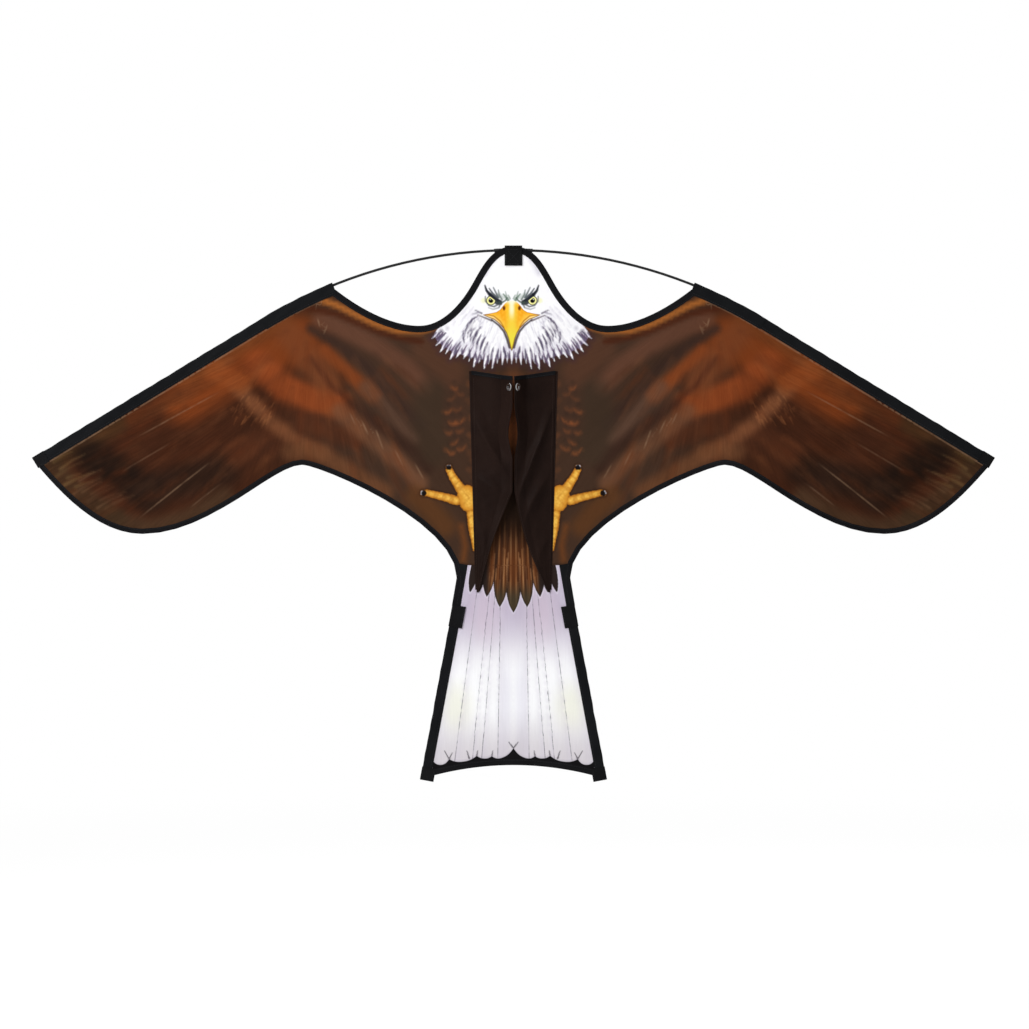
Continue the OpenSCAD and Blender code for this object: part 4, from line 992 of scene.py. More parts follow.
def paintBody(points):
    q, face = foldedHalf(points), foldedHalf(points, headShift)
    u, v = q.T
    ground = layOn(fill(q, bodyInks["belly"]), eased(u, 130, 260), bodyInks["outer"])
    ground = brushWork(q, washOver(q, ground, wingInkAndFoldShade))
    ground = bellyFeathers(q, breastFeathers(q, wingHairs(q, ground)))
    rim = 12 + 22 * eased(-v, 118, 166)  # the striped feathers widen towards the tail
    ground = layOn(ground, fadeOut(u, rim - 6, rim + 6) * eased(-v, 110, 146), covertInk(q))
    white, headReach = paintHead(face)
    eye, glint = eyeReaches(face)
    yolk, beak = paintBeak(face)
    skin, footReach = paintFeet(q)
    ground = layOn(ground, 0.55 * fadeOut(-headReach, 0, 7), bodyInks["headShade"])
    ground = layOn(ground, 0.45 * fadeOut(-footReach, 0, 3), bodyInks["footShade"])
    picture = np.where((headReach > footReach)[:, None], white, skin)
    outer = eased(u, 235, 300)
    shoulder = 0.2 + 0.8 * eased(np.hypot(*(q - innerFan).T), 30, 110)
    strength = (0.15 + 0.27 * eased(u, 70, 160) + 0.24 * outer) * shoulder
    return {"ground": withAlpha(ground), "picture": withAlpha(picture),
            "pictureEdge": np.maximum(headReach * 0.5, footReach * 0.8), "eyeReach": eye, "eyeGlint": glint,
            "beakEdge": beak, "beakInk": withAlpha(yolk), "flow": fanFlow(q, innerFan, 150),
            "flowOut": fanFlow(q, outerFan, 330), "drawnLine": drawnLines(q, paleHairs),
            "streak": np.stack([strength, outer, 0 * u], 1)}


def tailScallops(q):  # height above the scalloped ends of the tail feathers
    u, v = q.T
    ends = np.full(len(q), 60.0)
    for (ua, va, deep), (ub, vb, _) in zip(tailCusps, tailCusps[1:]):
        s = np.clip((u - ua) / (ub - ua), 0, 1)
        bottom = va + (vb - va) * s - deep * (1 - np.abs(2 * s - 1) ** 2.4)
        ends = np.where((u >= ua) & (u <= ub), v - bottom, ends)
    return ends


def paintTail(points):
    q = foldedHalf(points)
    u, v = q.T
    ground = layOn(fill(q, tailInks["white"]), 0.95 * fadeOut(-v, 215, 288), tailInks["root"])
    for (cu, cv), squash, colour in tailGlows:
        ground = layOn(ground, 0.5 * fadeOut(np.hypot(u - cu, (v - cv) * squash), 4, 26), colour)
    ground = layOn(ground, 0.45 * fadeOut(np.abs(u - 8), 1, 10) * eased(-v, 250, 300), tailInks["quill"])
    ground = layOn(ground, 0.55 * eased(-v, 316, 372), tailInks["hem"])
    t = np.clip((-238 - v) / 123, -0.4, 1.2)
    edges = np.array([np.zeros(len(q))] + [a + (b - a) * t for a, b in tailLines])
    index = np.clip((u >= edges).sum(0) - 1, 0, len(tailLines) - 1)
    low, high = (np.take_along_axis(edges, index[None] + k, 0)[0] for k in (0, 1))
    place = np.clip((u - low) / (high - low), 0, 1)
    ground = layOn(ground, 0.30 * eased(place, 0.5, 1.0), tailInks["overlap"])
    shown = eased(u, 6, 9) * fadeOut(u, edges[4] + 3, edges[4] + 7)
    ends = tailScallops(q)
    for path in tailMarks:
        ground = layOn(ground, 0.92 * taper(q, path, 0.6, 0.15), tailInks["mark"])
    ground = layOn(ground, 0.5 * fadeOut(ends, 0.2, 3.0), tailInks["scallop"])
    edge = np.max([featherReach(q, tip, root, half, 5.0)[0] for tip, root, half in coverts], 0)
    edge = np.maximum(edge, -60.0)
    colour = layOn(covertInk(q), 0.6 * fadeOut(edge, 0.2, 1.6), covertInks["rim"])
    ground = layOn(ground, 0.28 * fadeOut(-edge, 0.3, 2.2), tailInks["halo"])
    flow = np.stack([-v, u, 0 * u], 1)
    return {"ground": withAlpha(ground), "picture": withAlpha(colour), "pictureEdge": edge, "tailEnd": ends,
            "drawnLine": np.stack([index + place, high - low, shown], 1), "flow": flow, "flowOut": flow,
            "streak": np.stack([np.full(len(q), 0.07), 0 * u, 0 * u], 1)}


# sail panels

sailCut = {"coarse": 4.6, "edge": 3.4, "thickness": 0.3}


def onBoth(near, far, low, high, gap):
    return [(-far, -near, low, high, gap), (near, far, low, high, gap)]


fineAreas = {  # left, right, low, high and gap of the places with fine print
    "body": [(-38, 36, 40, 120, 0.9), (-101, 101, 16, 62, 1.05), (-66, 66, 62, 100, 1.5),
             (-44, 44, 100, 163, 2.2), *onBoth(40, 108, -142, -86, 1.3), *onBoth(42, 56, -190, -142, 1.3),
             (-36, 36, -203, -122, 0.95), (-44, 44, -122, 18, 2.6), *onBoth(44, 78, -76, 14, 2.5),
             *onBoth(430, 550, -150, -60, 2.2), *onBoth(274, 322, -46, -2, 1.5)],
    "tail": [(-62, 62, -262, -203, 1.05), (-100, 100, -446, -402, 1.15)],
}


def hexGrid(x0, x1, z0, z1, gap):
    rows = []
    for k, z in enumerate(np.arange(z0, z1 + gap, gap * 0.866)):
        across = np.arange(x0 + (k % 2) * gap / 2, x1, gap)
        rows.append(np.stack([across, np.full(len(across), z)], 1))
    return np.vstack(rows)


def fillOutline(loop, areas):
    rim = resample(np.vstack([loop, loop[:1]]), sailCut["edge"])[:-1]
    low, high = loop.min(0), loop.max(0)
    picks, taken = [rim], []
    for x0, x1, z0, z1, gap in areas + [(low[0], high[0], low[1], high[1], sailCut["coarse"])]:
        grid = hexGrid(x0, x1, z0, z1, gap)
        for a0, a1, b0, b1 in taken:
            grid = grid[~((grid[:, 0] > a0) & (grid[:, 0] < a1) & (grid[:, 1] > b0) & (grid[:, 1] < b1))]
        picks.append(grid[insideReach(grid, rim) > gap * 0.45])
        taken.append((x0 - 0.3, x1 + 0.3, z0 - 0.3, z1 + 0.3))
    count = len(rim)
    ring = [(k, (k + 1) % count) for k in range(count)]
    made = delaunay_2d_cdt([Vector(p) for p in np.vstack(picks)], ring, [], 1, 1e-5)
    return np.array([tuple(p) for p in made[0]]), [tuple(f) for f in made[2]]


def sailPanel(name, loop, areas, paint, mats, node):
    flat, faces = fillOutline(loop, areas)
    a, b, c = (flat[[f[k] for f in faces]] for k in range(3))
    turn = (b[:, 0] - a[:, 0]) * (c[:, 1] - a[:, 1]) - (b[:, 1] - a[:, 1]) * (c[:, 0] - a[:, 0])
    faces = [f if s > 0 else f[::-1] for f, s in zip(faces, turn)]
    depth = sailRipple(flat[:, 0], flat[:, 1])
    half = sailCut["thickness"] / 2
    front, back = (np.stack([flat[:, 0], depth + shift, flat[:, 1]], 1) for shift in (-half, half))
    points, faces, sides = closedSheet(front, back, faces)
    marks = {k: np.concatenate([v, v]) for k, v in paint(flat).items()}
    print(name, len(points), "points", len(faces), "faces")
    return addPiece(name, points, faces, mats, "kite", [node], sides, marks, sharp=0)


sailBody = sailPanel("sailBody", bodyLoop, fineAreas["body"], paintBody, sailMats, "body_panel")
sailTail = sailPanel("sailTail", tailLoop, fineAreas["tail"], paintTail, tailMats, "tail_panel")

# ribbons: tapes, sleeves and webbing, each a folded length of cloth

thread = {"pitch": 3.0, "length": 2.3, "radius": 0.22, "sides": 6, "probe": 0.6,
          "arch": [(0.0, -0.7, 0.55), (0.22, 0.35, 1.0), (0.78, 0.35, 1.0), (1.0, -0.7, 0.55)]}
toFront = (0.0, -1.0, 0.0)


def bandFaces(rows, wide):
    return [(i * wide + k, i * wide + (k + 1) % wide, (i + 1) * wide + (k + 1) % wide, (i + 1) * wide + k)
            for i in range(rows - 1) for k in range(wide)]


def tubeFaces(rows, wide):
    ends = [tuple(reversed(range(wide))), tuple(range((rows - 1) * wide, rows * wide))]
    return bandFaces(rows, wide) + ends


def ribbonRing(outer, inner):  # one closed solid from the two faces of a ribbon
    ring = np.concatenate([outer, inner[:, ::-1]], 1)
    rows, wide = ring.shape[:2]
    faces = bandFaces(rows, wide)
    last = (rows - 1) * wide
    for k in range(wide // 2 - 1):
        faces.append((k + 1, k, wide - 1 - k, wide - 2 - k))
        faces.append((last + k, last + k + 1, last + wide - 2 - k, last + wide - 1 - k))
    return {"points": ring.reshape(-1, 3), "faces": faces, "mats": [0] * len(faces)}


def layGrid(along, across, edge):  # where each point lies on its length of cloth, mm
    return np.stack(np.broadcast_arrays(along[:, None], across, edge), 2)


def loftRibbon(contour, stations, thick, wobble, ripples=True):
    contour, stations = np.asarray(contour, float), np.asarray(stations, float)
    step = unit(np.gradient(contour, axis=0))
    across, along = runLength(contour), runLength(stations[:, :2])
    gain = wobble(along[:, None], across, across[-1])
    sides = []
    for inset in (0.0, thick):
        n = contour[:, 0] - step[:, 1] * (inset - gain)
        y = contour[:, 1] + step[:, 0] * (inset - gain)
        x = stations[:, 0, None] + n * stations[:, 2, None]
        z = stations[:, 1, None] + n * stations[:, 3, None]
        if ripples:
            y = y + sailRipple(x.ravel(), z.ravel()).reshape(x.shape)
        sides.append(np.stack([x, y, z], 2))
    part = ribbonRing(*sides)
    lay = layGrid(along, across, np.minimum(across, across[-1] - across))
    part["lay"] = np.concatenate([lay, lay[:, ::-1]], 1).reshape(-1, 3)
    part["outer"], part["across"] = sides[0], across
    return part


def addSolid(part, points, faces, mat):
    base = len(part["points"])
    part["points"] = np.vstack([part["points"], points])
    part["faces"] = part["faces"] + [tuple(i + base for i in f) for f in faces]
    part["lay"] = np.vstack([part["lay"], np.tile((0.0, 0.0, 9.0), (len(points), 1))])
    part["mats"] = part["mats"] + [mat] * len(faces)


def stitchPoints(start, stop, outward):  # one arched stitch that dives in at both ends
    side = np.cross(unit(stop - start), outward)
    points = []
    for share, lift, size in thread["arch"]:
        centre = start + (stop - start) * share + outward * thread["radius"] * lift
        for k in range(thread["sides"]):
            turn = 2 * math.pi * k / thread["sides"]
            around = math.cos(turn) * side + math.sin(turn) * outward
            points.append(centre + thread["radius"] * size * around)
    return points


def stitchLine(part, line, outward):  # stitches along a line of points with their outward directions
    outward = np.broadcast_to(np.asarray(outward, float), line.shape)
    run = runLength(line)
    oneStitch = tubeFaces(len(thread["arch"]), thread["sides"])
    points, faces = [], []
    for s in np.arange(thread["pitch"], run[-1] - thread["pitch"], thread["pitch"]):
        start, stop = (samplePath(line, run, s + d) for d in (0, thread["length"]))
        faces += [tuple(i + len(points) for i in f) for f in oneStitch]
        points += stitchPoints(start, stop, unit(samplePath(outward, run, s)))
    if points:
        addSolid(part, np.array(points), faces, 1)


def stitchRows(part, inset):  # a row of stitches along both edges of the ribbon's outer face
    across = part["across"]
    for where in (inset, across[-1] - inset):
        line, near = (np.array([samplePath(row, across, at) for row in part["outer"]])
                      for at in (where, where + thread["probe"]))
        stitchLine(part, line, unit(np.cross(np.gradient(line, axis=0), near - line)))


def mirrorPart(part):
    return {**part, "points": part["points"] * np.array([-1, 1, 1]),
            "faces": [tuple(reversed(f)) for f in part["faces"]]}


def pieceFrom(name, part, slot, stands, body="kite"):
    return addPiece(name, part["points"], part["faces"], sewnFrom[slot], body, stands, part["mats"],
                    {"lay": part["lay"]})


def bothSides(label, node, part, slot):  # the part is made for the right and mirrored for the left
    pieceFrom(label + "Right", part, slot, [node + "_right"])
    pieceFrom(label + "Left", mirrorPart(part), slot, [node + "_left"])


def edgeStations(path, step=3.0):
    path = resample(path, step)
    way = unit(np.gradient(path, axis=0))
    return np.stack([path[:, 0], path[:, 1], way[:, 1], -way[:, 0]], 1)


tape = {"layer": 0.36, "inside": 0.16, "foldIn": 0.15, "neckWidth": 7.2, "trailWidth": 5.6, "hemWidth": 6.5,
        "stitchIn": 1.3, "pucker": 0.10, "waves": (9.0, 4.3)}


def foldContour(width):  # a tape folded over an edge: front, rounded fold, back
    half, bend = tape["inside"] + tape["layer"], -tape["foldIn"]
    turns = np.linspace(-math.pi / 2, math.pi / 2, 9)[1:-1]
    front = [(n, -half) for n in np.linspace(-width, bend, 7)]
    fold = [(bend + half * math.cos(a), half * math.sin(a)) for a in turns]
    return front + fold + [(n, half) for n in np.linspace(bend, -width, 7)]


def tapeWobble(along, across, total):  # slight pucker between stitches, none on the fold
    long, short = (along * 2 * math.pi / wave for wave in tape["waves"])
    wave = np.sin(long + 0.4 * np.sin(along * 0.21)) + 0.5 * np.sin(short)
    near = np.minimum(across, total - across)
    return tape["pucker"] * wave * np.clip(near / 2.0, 0, 1) * np.clip(1 - near / (total * 0.5), 0, 1)


def edgeTape(name, path, width, node):
    part = loftRibbon(foldContour(width), edgeStations(path), tape["layer"], tapeWobble)
    stitchRows(part, tape["stitchIn"])
    return pieceFrom(name, part, "edging_tape", [node])


mirrorX = np.array([-1.0, 1.0])
neckPath = cutLoop(bodyLoop, sleeveCorner, sleeveCorner * mirrorX)
hemPath = cutLoop(tailLoop, hemCorner * mirrorX, hemCorner)
trailPath = np.vstack([cutLoop(tailLoop, tailTopCorner, seamCorner),
                       cutLoop(bodyLoop, seamCorner, tipCorner)[1:]])
trailLeft = (trailPath * mirrorX)[::-1]
neckTape = edgeTape("neckTape", neckPath, tape["neckWidth"], "head_binding")
trailTapeRight = edgeTape("trailTapeRight", trailPath, tape["trailWidth"], "trailing_binding_right")
trailTapeLeft = edgeTape("trailTapeLeft", trailLeft, tape["trailWidth"], "trailing_binding_left")
hemTape = edgeTape("hemTape", hemPath, tape["hemWidth"], "tail_hem")
print("edging tapes sewn")

# sleeves for the spar and the tail rods, with their webbing

sleeve = {"wall": 0.42, "cuffWall": 0.5, "wrinkle": 0.22, "ease": 0.25, "stitchIn": 2.0, "step": 3.0}
web = {"thick": 0.8, "stitchIn": 1.6, "wobble": 0.07, "step": 0.9, "tipLong": 15, "retainerLong": 25.0,
       "cornerLong": 14}
tab = {"width": 20.0, "top": 161.35, "low": 139.15, "knee": 154.5, "back": 5.5, "front": 1.3, "corner": 1.0,
       "stations": 24, "boxIn": 2, "boxDown": 4}
profiles = {  # reach out and in, tube's place and radius, start of the flat seam, half depth, corner
    "lead": (2.25, 10.25, 0.0, spar["back"], 2.25, -5.75, 0.5, 1.2),
    "cuff": (2.55, 11.2, 0.0, spar["back"], 2.55, -5.75, 0.8, 1.2),
    "tail": (0.0, 11.0, -1.75, 2.55, 1.75, -6.5, 0.5, 0.8),
    "tip": (3.05, 11.05, 0.0, spar["back"], 3.05, -5.75, 1.3, 1.4),
    "wrap": (0.8, 15.0, -1.75, 2.55, 2.55, -6.5, 1.3, 1.0),
}


def arc(n, y, radius, turns):
    return [(n + radius * math.cos(a), y + radius * math.sin(a)) for a in turns]


def sleeveContour(out, inward, tubeN, tubeY, tubeR, flatN, half, corner):
    dn, dy = flatN - tubeN, half - tubeY
    turn = math.atan2(dy, dn) + 2 * math.pi - math.acos(tubeR / math.hypot(dn, dy))
    line = [(-inward, -half), (out - corner, -half)]
    line += arc(out - corner, corner - half, corner, np.linspace(0.2, math.pi / 2, 6) - math.pi / 2)
    line += arc(tubeN, tubeY, tubeR, np.linspace(0, turn, 14))
    line += [(flatN, half), (-inward, half)]
    return resample(line, 0.7)


def sleeveWobble(along, across, total):
    near = np.clip(np.minimum(across, total - across) / 4.0, 0, 1)
    broad = np.sin(along / 7.3 + across * 0.5) * np.sin(along / 17.0 + 1.0)
    wave = broad + 0.6 * np.sin(along / 3.1 - across * 0.35)
    return sleeve["wrinkle"] * wave * near + sleeve["ease"] * near


def webWobble(along, across, total):
    return web["wobble"] * np.sin(along * 1.9) * np.sin(across * 1.3)


def runStations(place, start, stop, step):
    return [place(r) for r in np.linspace(start, stop, max(2, int(round((stop - start) / step)) + 1))]


def sleevePart(profile, place, start, stop, wall):
    contour = sleeveContour(*profiles[profile])
    stations = runStations(place, start, stop, sleeve["step"])
    part = loftRibbon(contour, stations, wall, sleeveWobble, ripples=False)
    stitchRows(part, sleeve["stitchIn"])
    return part


def endPlate(part, contour, station, way):  # folded end that closes a pocket
    x, z, nx, nz = station
    inward = contour.mean(0) - contour
    inward = inward / np.maximum(np.hypot(*inward.T), 1.0)[:, None]
    rings = []
    for shift, shrink in ((-0.1, 0.0), (web["thick"] * 0.6, 0.0), (web["thick"], 0.35)):
        n, y = (contour + inward * shrink).T
        rings.append(np.stack([x + n * nx + way[0] * shift, y, z + n * nz + way[1] * shift], 1))
    addSolid(part, np.vstack(rings), tubeFaces(len(rings), len(contour)), 0)


def webPart(profile, place, start, stop, closed):
    contour = sleeveContour(*profiles[profile])
    stations = runStations(place, start, stop, web["step"])
    part = loftRibbon(contour, stations, web["thick"], webWobble, ripples=False)
    stitchRows(part, web["stitchIn"])
    if closed:
        last, before = place(stop), place(stop - 1)
        endPlate(part, contour, last, (last[0] - before[0], last[1] - before[1]))
    return part


def headTabPart():
    front, corner, reach = tab["front"], tab["corner"], tab["back"] + web["thick"]
    top = tab["top"] + web["thick"] - corner
    line = [(tab["low"], -front), (top, -front)]
    line += arc(top, corner - front, corner, np.linspace(0.3, math.pi / 2, 5) - math.pi / 2)
    line += arc(top, reach - corner, corner, np.linspace(0, math.pi / 2, 5))
    line += [(tab["knee"], reach), (tab["knee"] - tab["back"], front), (tab["low"], front)]
    half = tab["width"] / 2
    stations = [(x, 0.0, 0.0, 1.0) for x in np.linspace(half, -half, tab["stations"])]
    part = loftRibbon(resample(line, 0.7), stations, web["thick"], webWobble, ripples=False)
    side, low, high = half - tab["boxIn"], tab["low"] + tab["boxIn"], tab["top"] - tab["boxDown"]
    box = [(side, low), (side, high), (-side, high), (-side, low)]
    for a, b in ((0, 1), (1, 2), (2, 3), (3, 0), (0, 2), (1, 3)):  # a sewn box with its cross
        x, z = resample([box[a], box[b]], 2.0).T
        stitchLine(part, np.stack([x, np.full(len(x), -front - 0.05), z], 1), toFront)
    return part


cuffRun = (spar["sweep"] - spar["start"]) * spar["bow"]
sleeves = [  # label, node, profile, path, its start and end, and the wall
    ("leadSleeve", "leading_sleeve", "lead", leadPoint, 0.0, spar["tipRun"] - 1.0, sleeve["wall"]),
    ("leadCuff", "leading_cuff", "cuff", leadPoint, -cuffRun, 2.0, sleeve["cuffWall"]),
    ("tailSleeve", "tail_sleeve", "tail", tailPoint, 0.0, tailLine["run"] - 0.4, sleeve["wall"]),
]
pockets = [  # label, node, profile, path, its start and end, and whether the end is closed
    ("tipPocket", "wing_tip_pocket", "tip", leadPoint, spar["tipRun"] - web["tipLong"],
     spar["tipRun"] - web["thick"], True),
    ("tailRetainer", "tail_retainer", "wrap", tailPoint, 0.0, web["retainerLong"], False),
    ("tailCorner", "tail_corner", "wrap", tailPoint, tailLine["run"] - web["cornerLong"],
     tailLine["run"], True),
]
for label, node, *values in sleeves:
    bothSides(label, node, sleevePart(*values), "sleeve_cloth")
for label, node, *values in pockets:
    bothSides(label, node, webPart(*values), "webbing")
pieceFrom("headTab", headTabPart(), "webbing", ["head_tab"])
print("sleeves and webbing sewn")

# seam tape, keel strips and facings, flat lengths sewn to the sail

seamTape = {"halfLength": 58.0, "z": -203.0, "width": 8.0, "layer": (0.16, 0.52), "stitchIn": 1.2}
keelStrip = {"top": keelSeam[0], "end": (40.9, -231.0), "width": 5.4, "layer": (-0.16, -0.5),
             "stitchIn": 0.8}
facing = {"top": (57.2, -202.0), "end": (65.4, -250.0), "width": 10.0, "layer": (-0.16, -0.36),
          "stitchIn": 0.9}


def flatStrip(name, start, stop, strip, slot, stands):
    inner, outer = strip["layer"]
    contour = [(n, outer) for n in np.linspace(-strip["width"] / 2, strip["width"] / 2, 9)]
    contour = contour if outer < inner else contour[::-1]
    part = loftRibbon(contour, edgeStations([start, stop]), abs(inner - outer), tapeWobble)
    stitchRows(part, strip["stitchIn"])
    pieceFrom(name, part, slot, stands)


seamEnds = [(sign * seamTape["halfLength"], seamTape["z"]) for _, sign in twoSides]
flatStrip("seamTape", *seamEnds, seamTape, "edging_tape", ["tail_seam_tape"])
for label, strip, slot, node in (("keelStrip", keelStrip, "flap_cloth", "keel_strip_"),
                                 ("tailFacing", facing, "sleeve_cloth", "")):
    for side, sign in twoSides:
        (topX, topZ), (endX, endZ) = strip["top"], strip["end"]
        flatStrip(label + side.title(), (sign * topX, topZ), (sign * endX, endZ), strip, slot,
                  [node + side] if node else [])

# keel flaps

flap = {"width": 47.0, "gap": 1.2, "sag": 7.0, "toe": 2.4, "lift": 4.0, "ramp": 18.0, "stand": 1.05,
        "fold": 0.72, "corner": 0.53, "flat": 0.09, "slack": 0.25, "slitFrom": 0.135, "slitLong": 0.25,
        "crinkle": 0.18, "thickness": 0.5, "eyeletX": 5.0, "eyeletAxis": (0.8101, -0.5863, 0.0), "hole": 3.1,
        "holeDeep": 4, "fineTop": 0.13, "across": (34, 20), "down": (34, 92), "stitchAt": (0.05, 0.955)}
hem = {"layer": 0.33, "slip": 0.02, "depth": 4.0, "across": 18, "steps": 60}
flapHang = {"left": {"slit": 4.6, "bow": 3.5, "phase": 0.0,
                     "folds": [(0.20, 0.30, 0.12, 6.4), (0.47, 0.10, 0.08, 5.0), (0.66, 0.20, 0.07, 3.4)]},
            "right": {"slit": 3.4, "bow": -5.5, "phase": 1.7,
                      "folds": [(0.14, 0.46, 0.11, 6.0), (0.44, 0.26, 0.09, 4.6), (0.74, 0.14, 0.07, 3.6)]}}
(seamTopX, seamTopZ), (seamEndX, seamEndZ) = keelSeam
flapLength = seamTopZ - seamEndZ


def flapPoint(u, r, hang):  # u from the seam to the free edge, r from the top to the bottom
    seam = seamTopX + r * (seamEndX - seamTopX)
    low = np.maximum(0, (r - flap["corner"]) / (1 - flap["corner"]))
    cut = low * (seamEndX - flap["toe"] - flap["gap"]) + hang["bow"] * np.sin(math.pi * low)
    slit = np.clip((r - flap["slitFrom"]) / flap["slitLong"], 0, 1)
    free = flap["gap"] + np.maximum(0, cut) + hang["slit"] * np.sin(math.pi * slit) ** 1.5
    wide = (seam - free) / (seam - flap["gap"])
    ramp = 1 - (1 - flap["slack"]) * eased(r, flap["flat"], flap["corner"])
    crease = 0.0
    for start, slope, half, height in hang["folds"]:  # slanting folds, from the seam towards the free edge
        crest = np.maximum(0, 1 - np.abs(r - start - slope * u) / half)
        crease = crease + height * crest ** 1.5 * np.sin(math.pi * u)
    rise = flap["lift"] * (1 - np.cos(math.pi * np.minimum(u / flap["fold"], 1))) / 2
    rise = rise + flap["ramp"] * ramp * np.maximum(0, (u - flap["fold"]) / (1 - flap["fold"]))
    loose = eased(r, 0.1, 0.2)
    small = np.sin(u * 17 + r * 40) * np.sin(r * 63 - u * 5 + hang["phase"])
    small = small * np.sin(math.pi * np.clip(u, 0, 1))
    depth = flap["stand"] + wide * (rise + crease * loose) + flap["crinkle"] * small * loose
    z = seamTopZ - r * flapLength - flap["sag"] * u * (1 - r)
    return np.stack([seam + u * (free - seam), -depth, z], -1)


def gridNormals(grid):
    out = unit(np.cross(np.gradient(grid, axis=1), np.gradient(grid, axis=0)))
    return np.where(out[:, :, 1:2] > 0, -out, out)


def twoSteps(middle, first, second):  # 0 to 1 with a change of step on the way
    return np.concatenate([np.linspace(0, middle, first)[:-1], np.linspace(middle, 1, second)])


def eyeletHole(grid):  # the points that the eyelet's barrel passes through
    axis = np.array(flap["eyeletAxis"])
    away = grid - np.array([flap["eyeletX"], -sailPlane, 0.0])
    reach = away @ axis
    near = np.linalg.norm(away - reach[:, :, None] * axis, axis=2) < flap["hole"]
    return near & (np.abs(reach) < flap["holeDeep"])


def flapPart(hang):
    us, rs = twoSteps(flap["fold"], *flap["across"]), twoSteps(flap["fineTop"], *flap["down"])
    rows, cols = len(rs), len(us)
    grid = flapPoint(us[None, :], rs[:, None], hang)
    out = gridNormals(grid) * flap["thickness"] / 2
    hole = eyeletHole(grid)
    faces = [(i * cols + j, i * cols + j + 1, (i + 1) * cols + j + 1, (i + 1) * cols + j)
             for i in range(rows - 1) for j in range(cols - 1) if not hole[i:i + 2, j:j + 2].any()]
    front, back = (grid + out).reshape(-1, 3), (grid - out).reshape(-1, 3)
    a, b, c = front[list(faces[0][:3])]
    if np.cross(b - a, c - a)[1] > 0:
        faces = [f[::-1] for f in faces]
    points, faces, sides = closedSheet(front, back, faces)
    lay = layGrid(rs * flapLength, us * flap["width"], (1 - us) * flap["width"]).reshape(-1, 3)
    used = np.unique(np.concatenate([np.array(f) for f in faces]))
    remap = -np.ones(len(points), int)
    remap[used] = np.arange(len(used))
    part = {"points": points[used], "faces": [tuple(remap[list(f)]) for f in faces],
            "lay": np.concatenate([lay, lay])[used], "mats": [0] * len(faces)}
    for u in flap["stitchAt"]:
        line = flapPoint(np.full(80, u), np.linspace(0.02, 0.98, 80), hang)
        stitchLine(part, line - np.array([0, flap["thickness"] / 2 + 0.03, 0]), toFront)
    return part


def hemPart(hang):
    us, deep = np.linspace(0, 1, hem["steps"]), hem["depth"] / flapLength
    half = flap["thickness"] / 2 + hem["slip"]
    grid = flapPoint(us[None, :], np.linspace(0, deep, 4)[:, None], hang)
    out = gridNormals(grid)
    faces = []
    for reach in (half + hem["layer"], half):
        cap = [grid[0] + reach * (out[0] * math.cos(a) + np.array([0, 0, math.sin(a)]))
               for a in np.linspace(0, math.pi, 9)[1:-1]]
        front, back = (grid + out * reach)[::-1], grid - out * reach
        faces.append(np.concatenate([front, np.array(cap), back]).swapaxes(0, 1))
    part = ribbonRing(*faces)
    across = np.linspace(0, hem["across"], 2 * faces[0].shape[1])
    part["lay"] = layGrid(us * flap["width"], across, 3.0).reshape(-1, 3)
    line = flapPoint(us, np.full(len(us), deep * 0.75), hang)
    stitchLine(part, line - np.array([0, half + hem["layer"] + 0.02, 0]), toFront)
    return part


keelFlaps, keelHems = {}, {}
for side, hang in flapHang.items():
    shapes = [flapPart(hang), hemPart(hang)]
    if side == "left":
        shapes = [mirrorPart(shape) for shape in shapes]
    title, body = side.title(), "keel_" + side
    keelFlaps[side] = pieceFrom("keelFlap" + title, shapes[0], "flap_cloth", ["keel_flap_" + side], body)
    keelHems[side] = pieceFrom("keelHem" + title, shapes[1], "edging_tape", ["keel_hem_" + side], body)
print("keel flaps sewn")

# carried-over hard parts

finishes = {"spar": glassRod, "spar_ferrule": ferruleMat, "spar_cap": capMat, "tail_rod": tailRodMat,
            "tail_rod_cap": capMat, "keel_eyelet": nickel, "keel_washer": nickel}
for name, item in nodes.items():
    stem = name.replace("_left", "").replace("_right", "")
    if stem in finishes:
        item.data.materials.clear()
        item.data.materials.append(finishes[stem])
        item.data.polygons.foreach_set("use_smooth", np.ones(len(item.data.polygons), bool))
        item.data.set_sharp_from_angle(angle=math.radians(35))
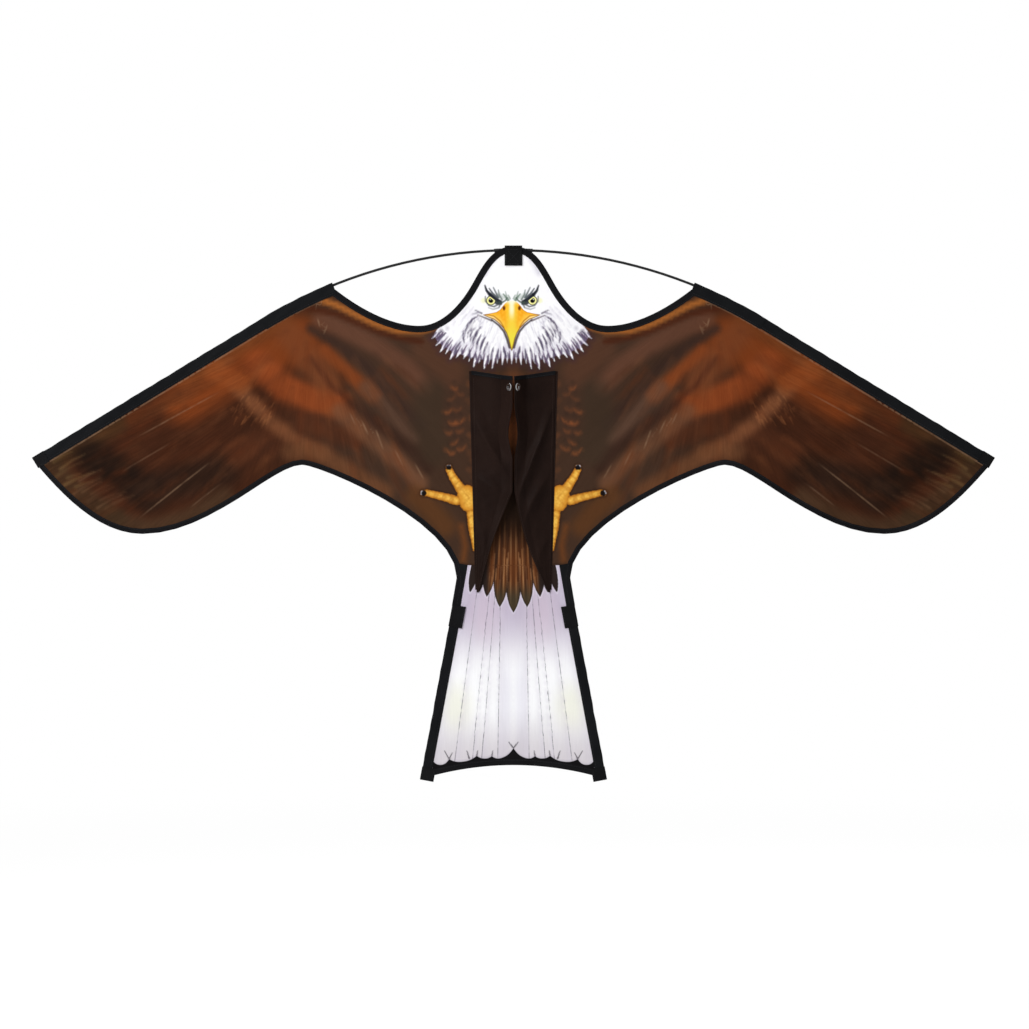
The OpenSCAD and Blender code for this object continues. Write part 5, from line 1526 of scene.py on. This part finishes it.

# floor and sky

studio = {"skyLight": 0.36, "floorSize": 7.0, "floorDrop": 0.34, "floorColour": (0.86, 0.86, 0.86, 1),
          "floorSeen": (0.26, 0.26, 0.26, 1), "floorGlow": 0.80, "fadeFrom": 1.3, "fadeTo": 4.5}


def rayShare(tree):  # 1 where the camera, or a mirror or glass, looks
    path = put(tree, "ShaderNodeLightPath").outputs
    mirrors = calc(tree, "MAXIMUM", path["Is Glossy Ray"], path["Is Transmission Ray"])
    return calc(tree, "MAXIMUM", path["Is Camera Ray"], mirrors)


def addFloor():
    size, drop = studio["floorSize"], cadBox[0][2] - studio["floorDrop"]
    corners = [(x * size, y * size, drop) for x, y in ((-1, -1), (1, -1), (1, 1), (-1, 1))]
    mesh = bpy.data.meshes.new("studioFloor")
    mesh.from_pydata(corners, [], [(0, 1, 2, 3)])
    mat, tree, shader = newMaterial("studioFloor", 0.9, 0.0)
    away = put(tree, "ShaderNodeVectorMath", {0: objectPlace(tree)}, operation="LENGTH").outputs["Value"]
    near = fading(tree, away, studio["fadeFrom"], studio["fadeTo"])  # white far from the kite
    pale = blendInk(tree, mottled(tree, 1.5), darker(studio["floorColour"], 0.985), studio["floorColour"])
    seen = rayShare(tree)
    dim = blendInk(tree, near, (0.0, 0.0, 0.0, 1.0), studio["floorSeen"])
    bright = calc(tree, "MULTIPLY_ADD", near, studio["floorGlow"] - 1.0, 1.0)
    glow = calc(tree, "MULTIPLY", seen, bright)
    glowInk = put(tree, "ShaderNodeCombineColor", {0: glow, 1: glow, 2: glow}).outputs[0]
    feed(tree, shader, {"Base Color": blendInk(tree, seen, pale, dim), "Emission Color": glowInk,
                        "Emission Strength": 1.0})
    mesh.materials.append(mat)
    addObject("studioFloor", mesh)


def addSky():
    world = bpy.data.worlds.new("studioSky")
    bpy.context.scene.world = world
    world.use_nodes = True
    tree = world.node_tree
    tree.nodes.clear()
    glow, white = (put(tree, "ShaderNodeBackground", {"Color": (1, 1, 1, 1), "Strength": strength}).outputs[0]
                   for strength in (studio["skyLight"], 1.0))
    mixed = put(tree, "ShaderNodeMixShader", {0: rayShare(tree), 1: glow, 2: white})
    put(tree, "ShaderNodeOutputWorld", {0: mixed.outputs[0]})


addFloor()
addSky()
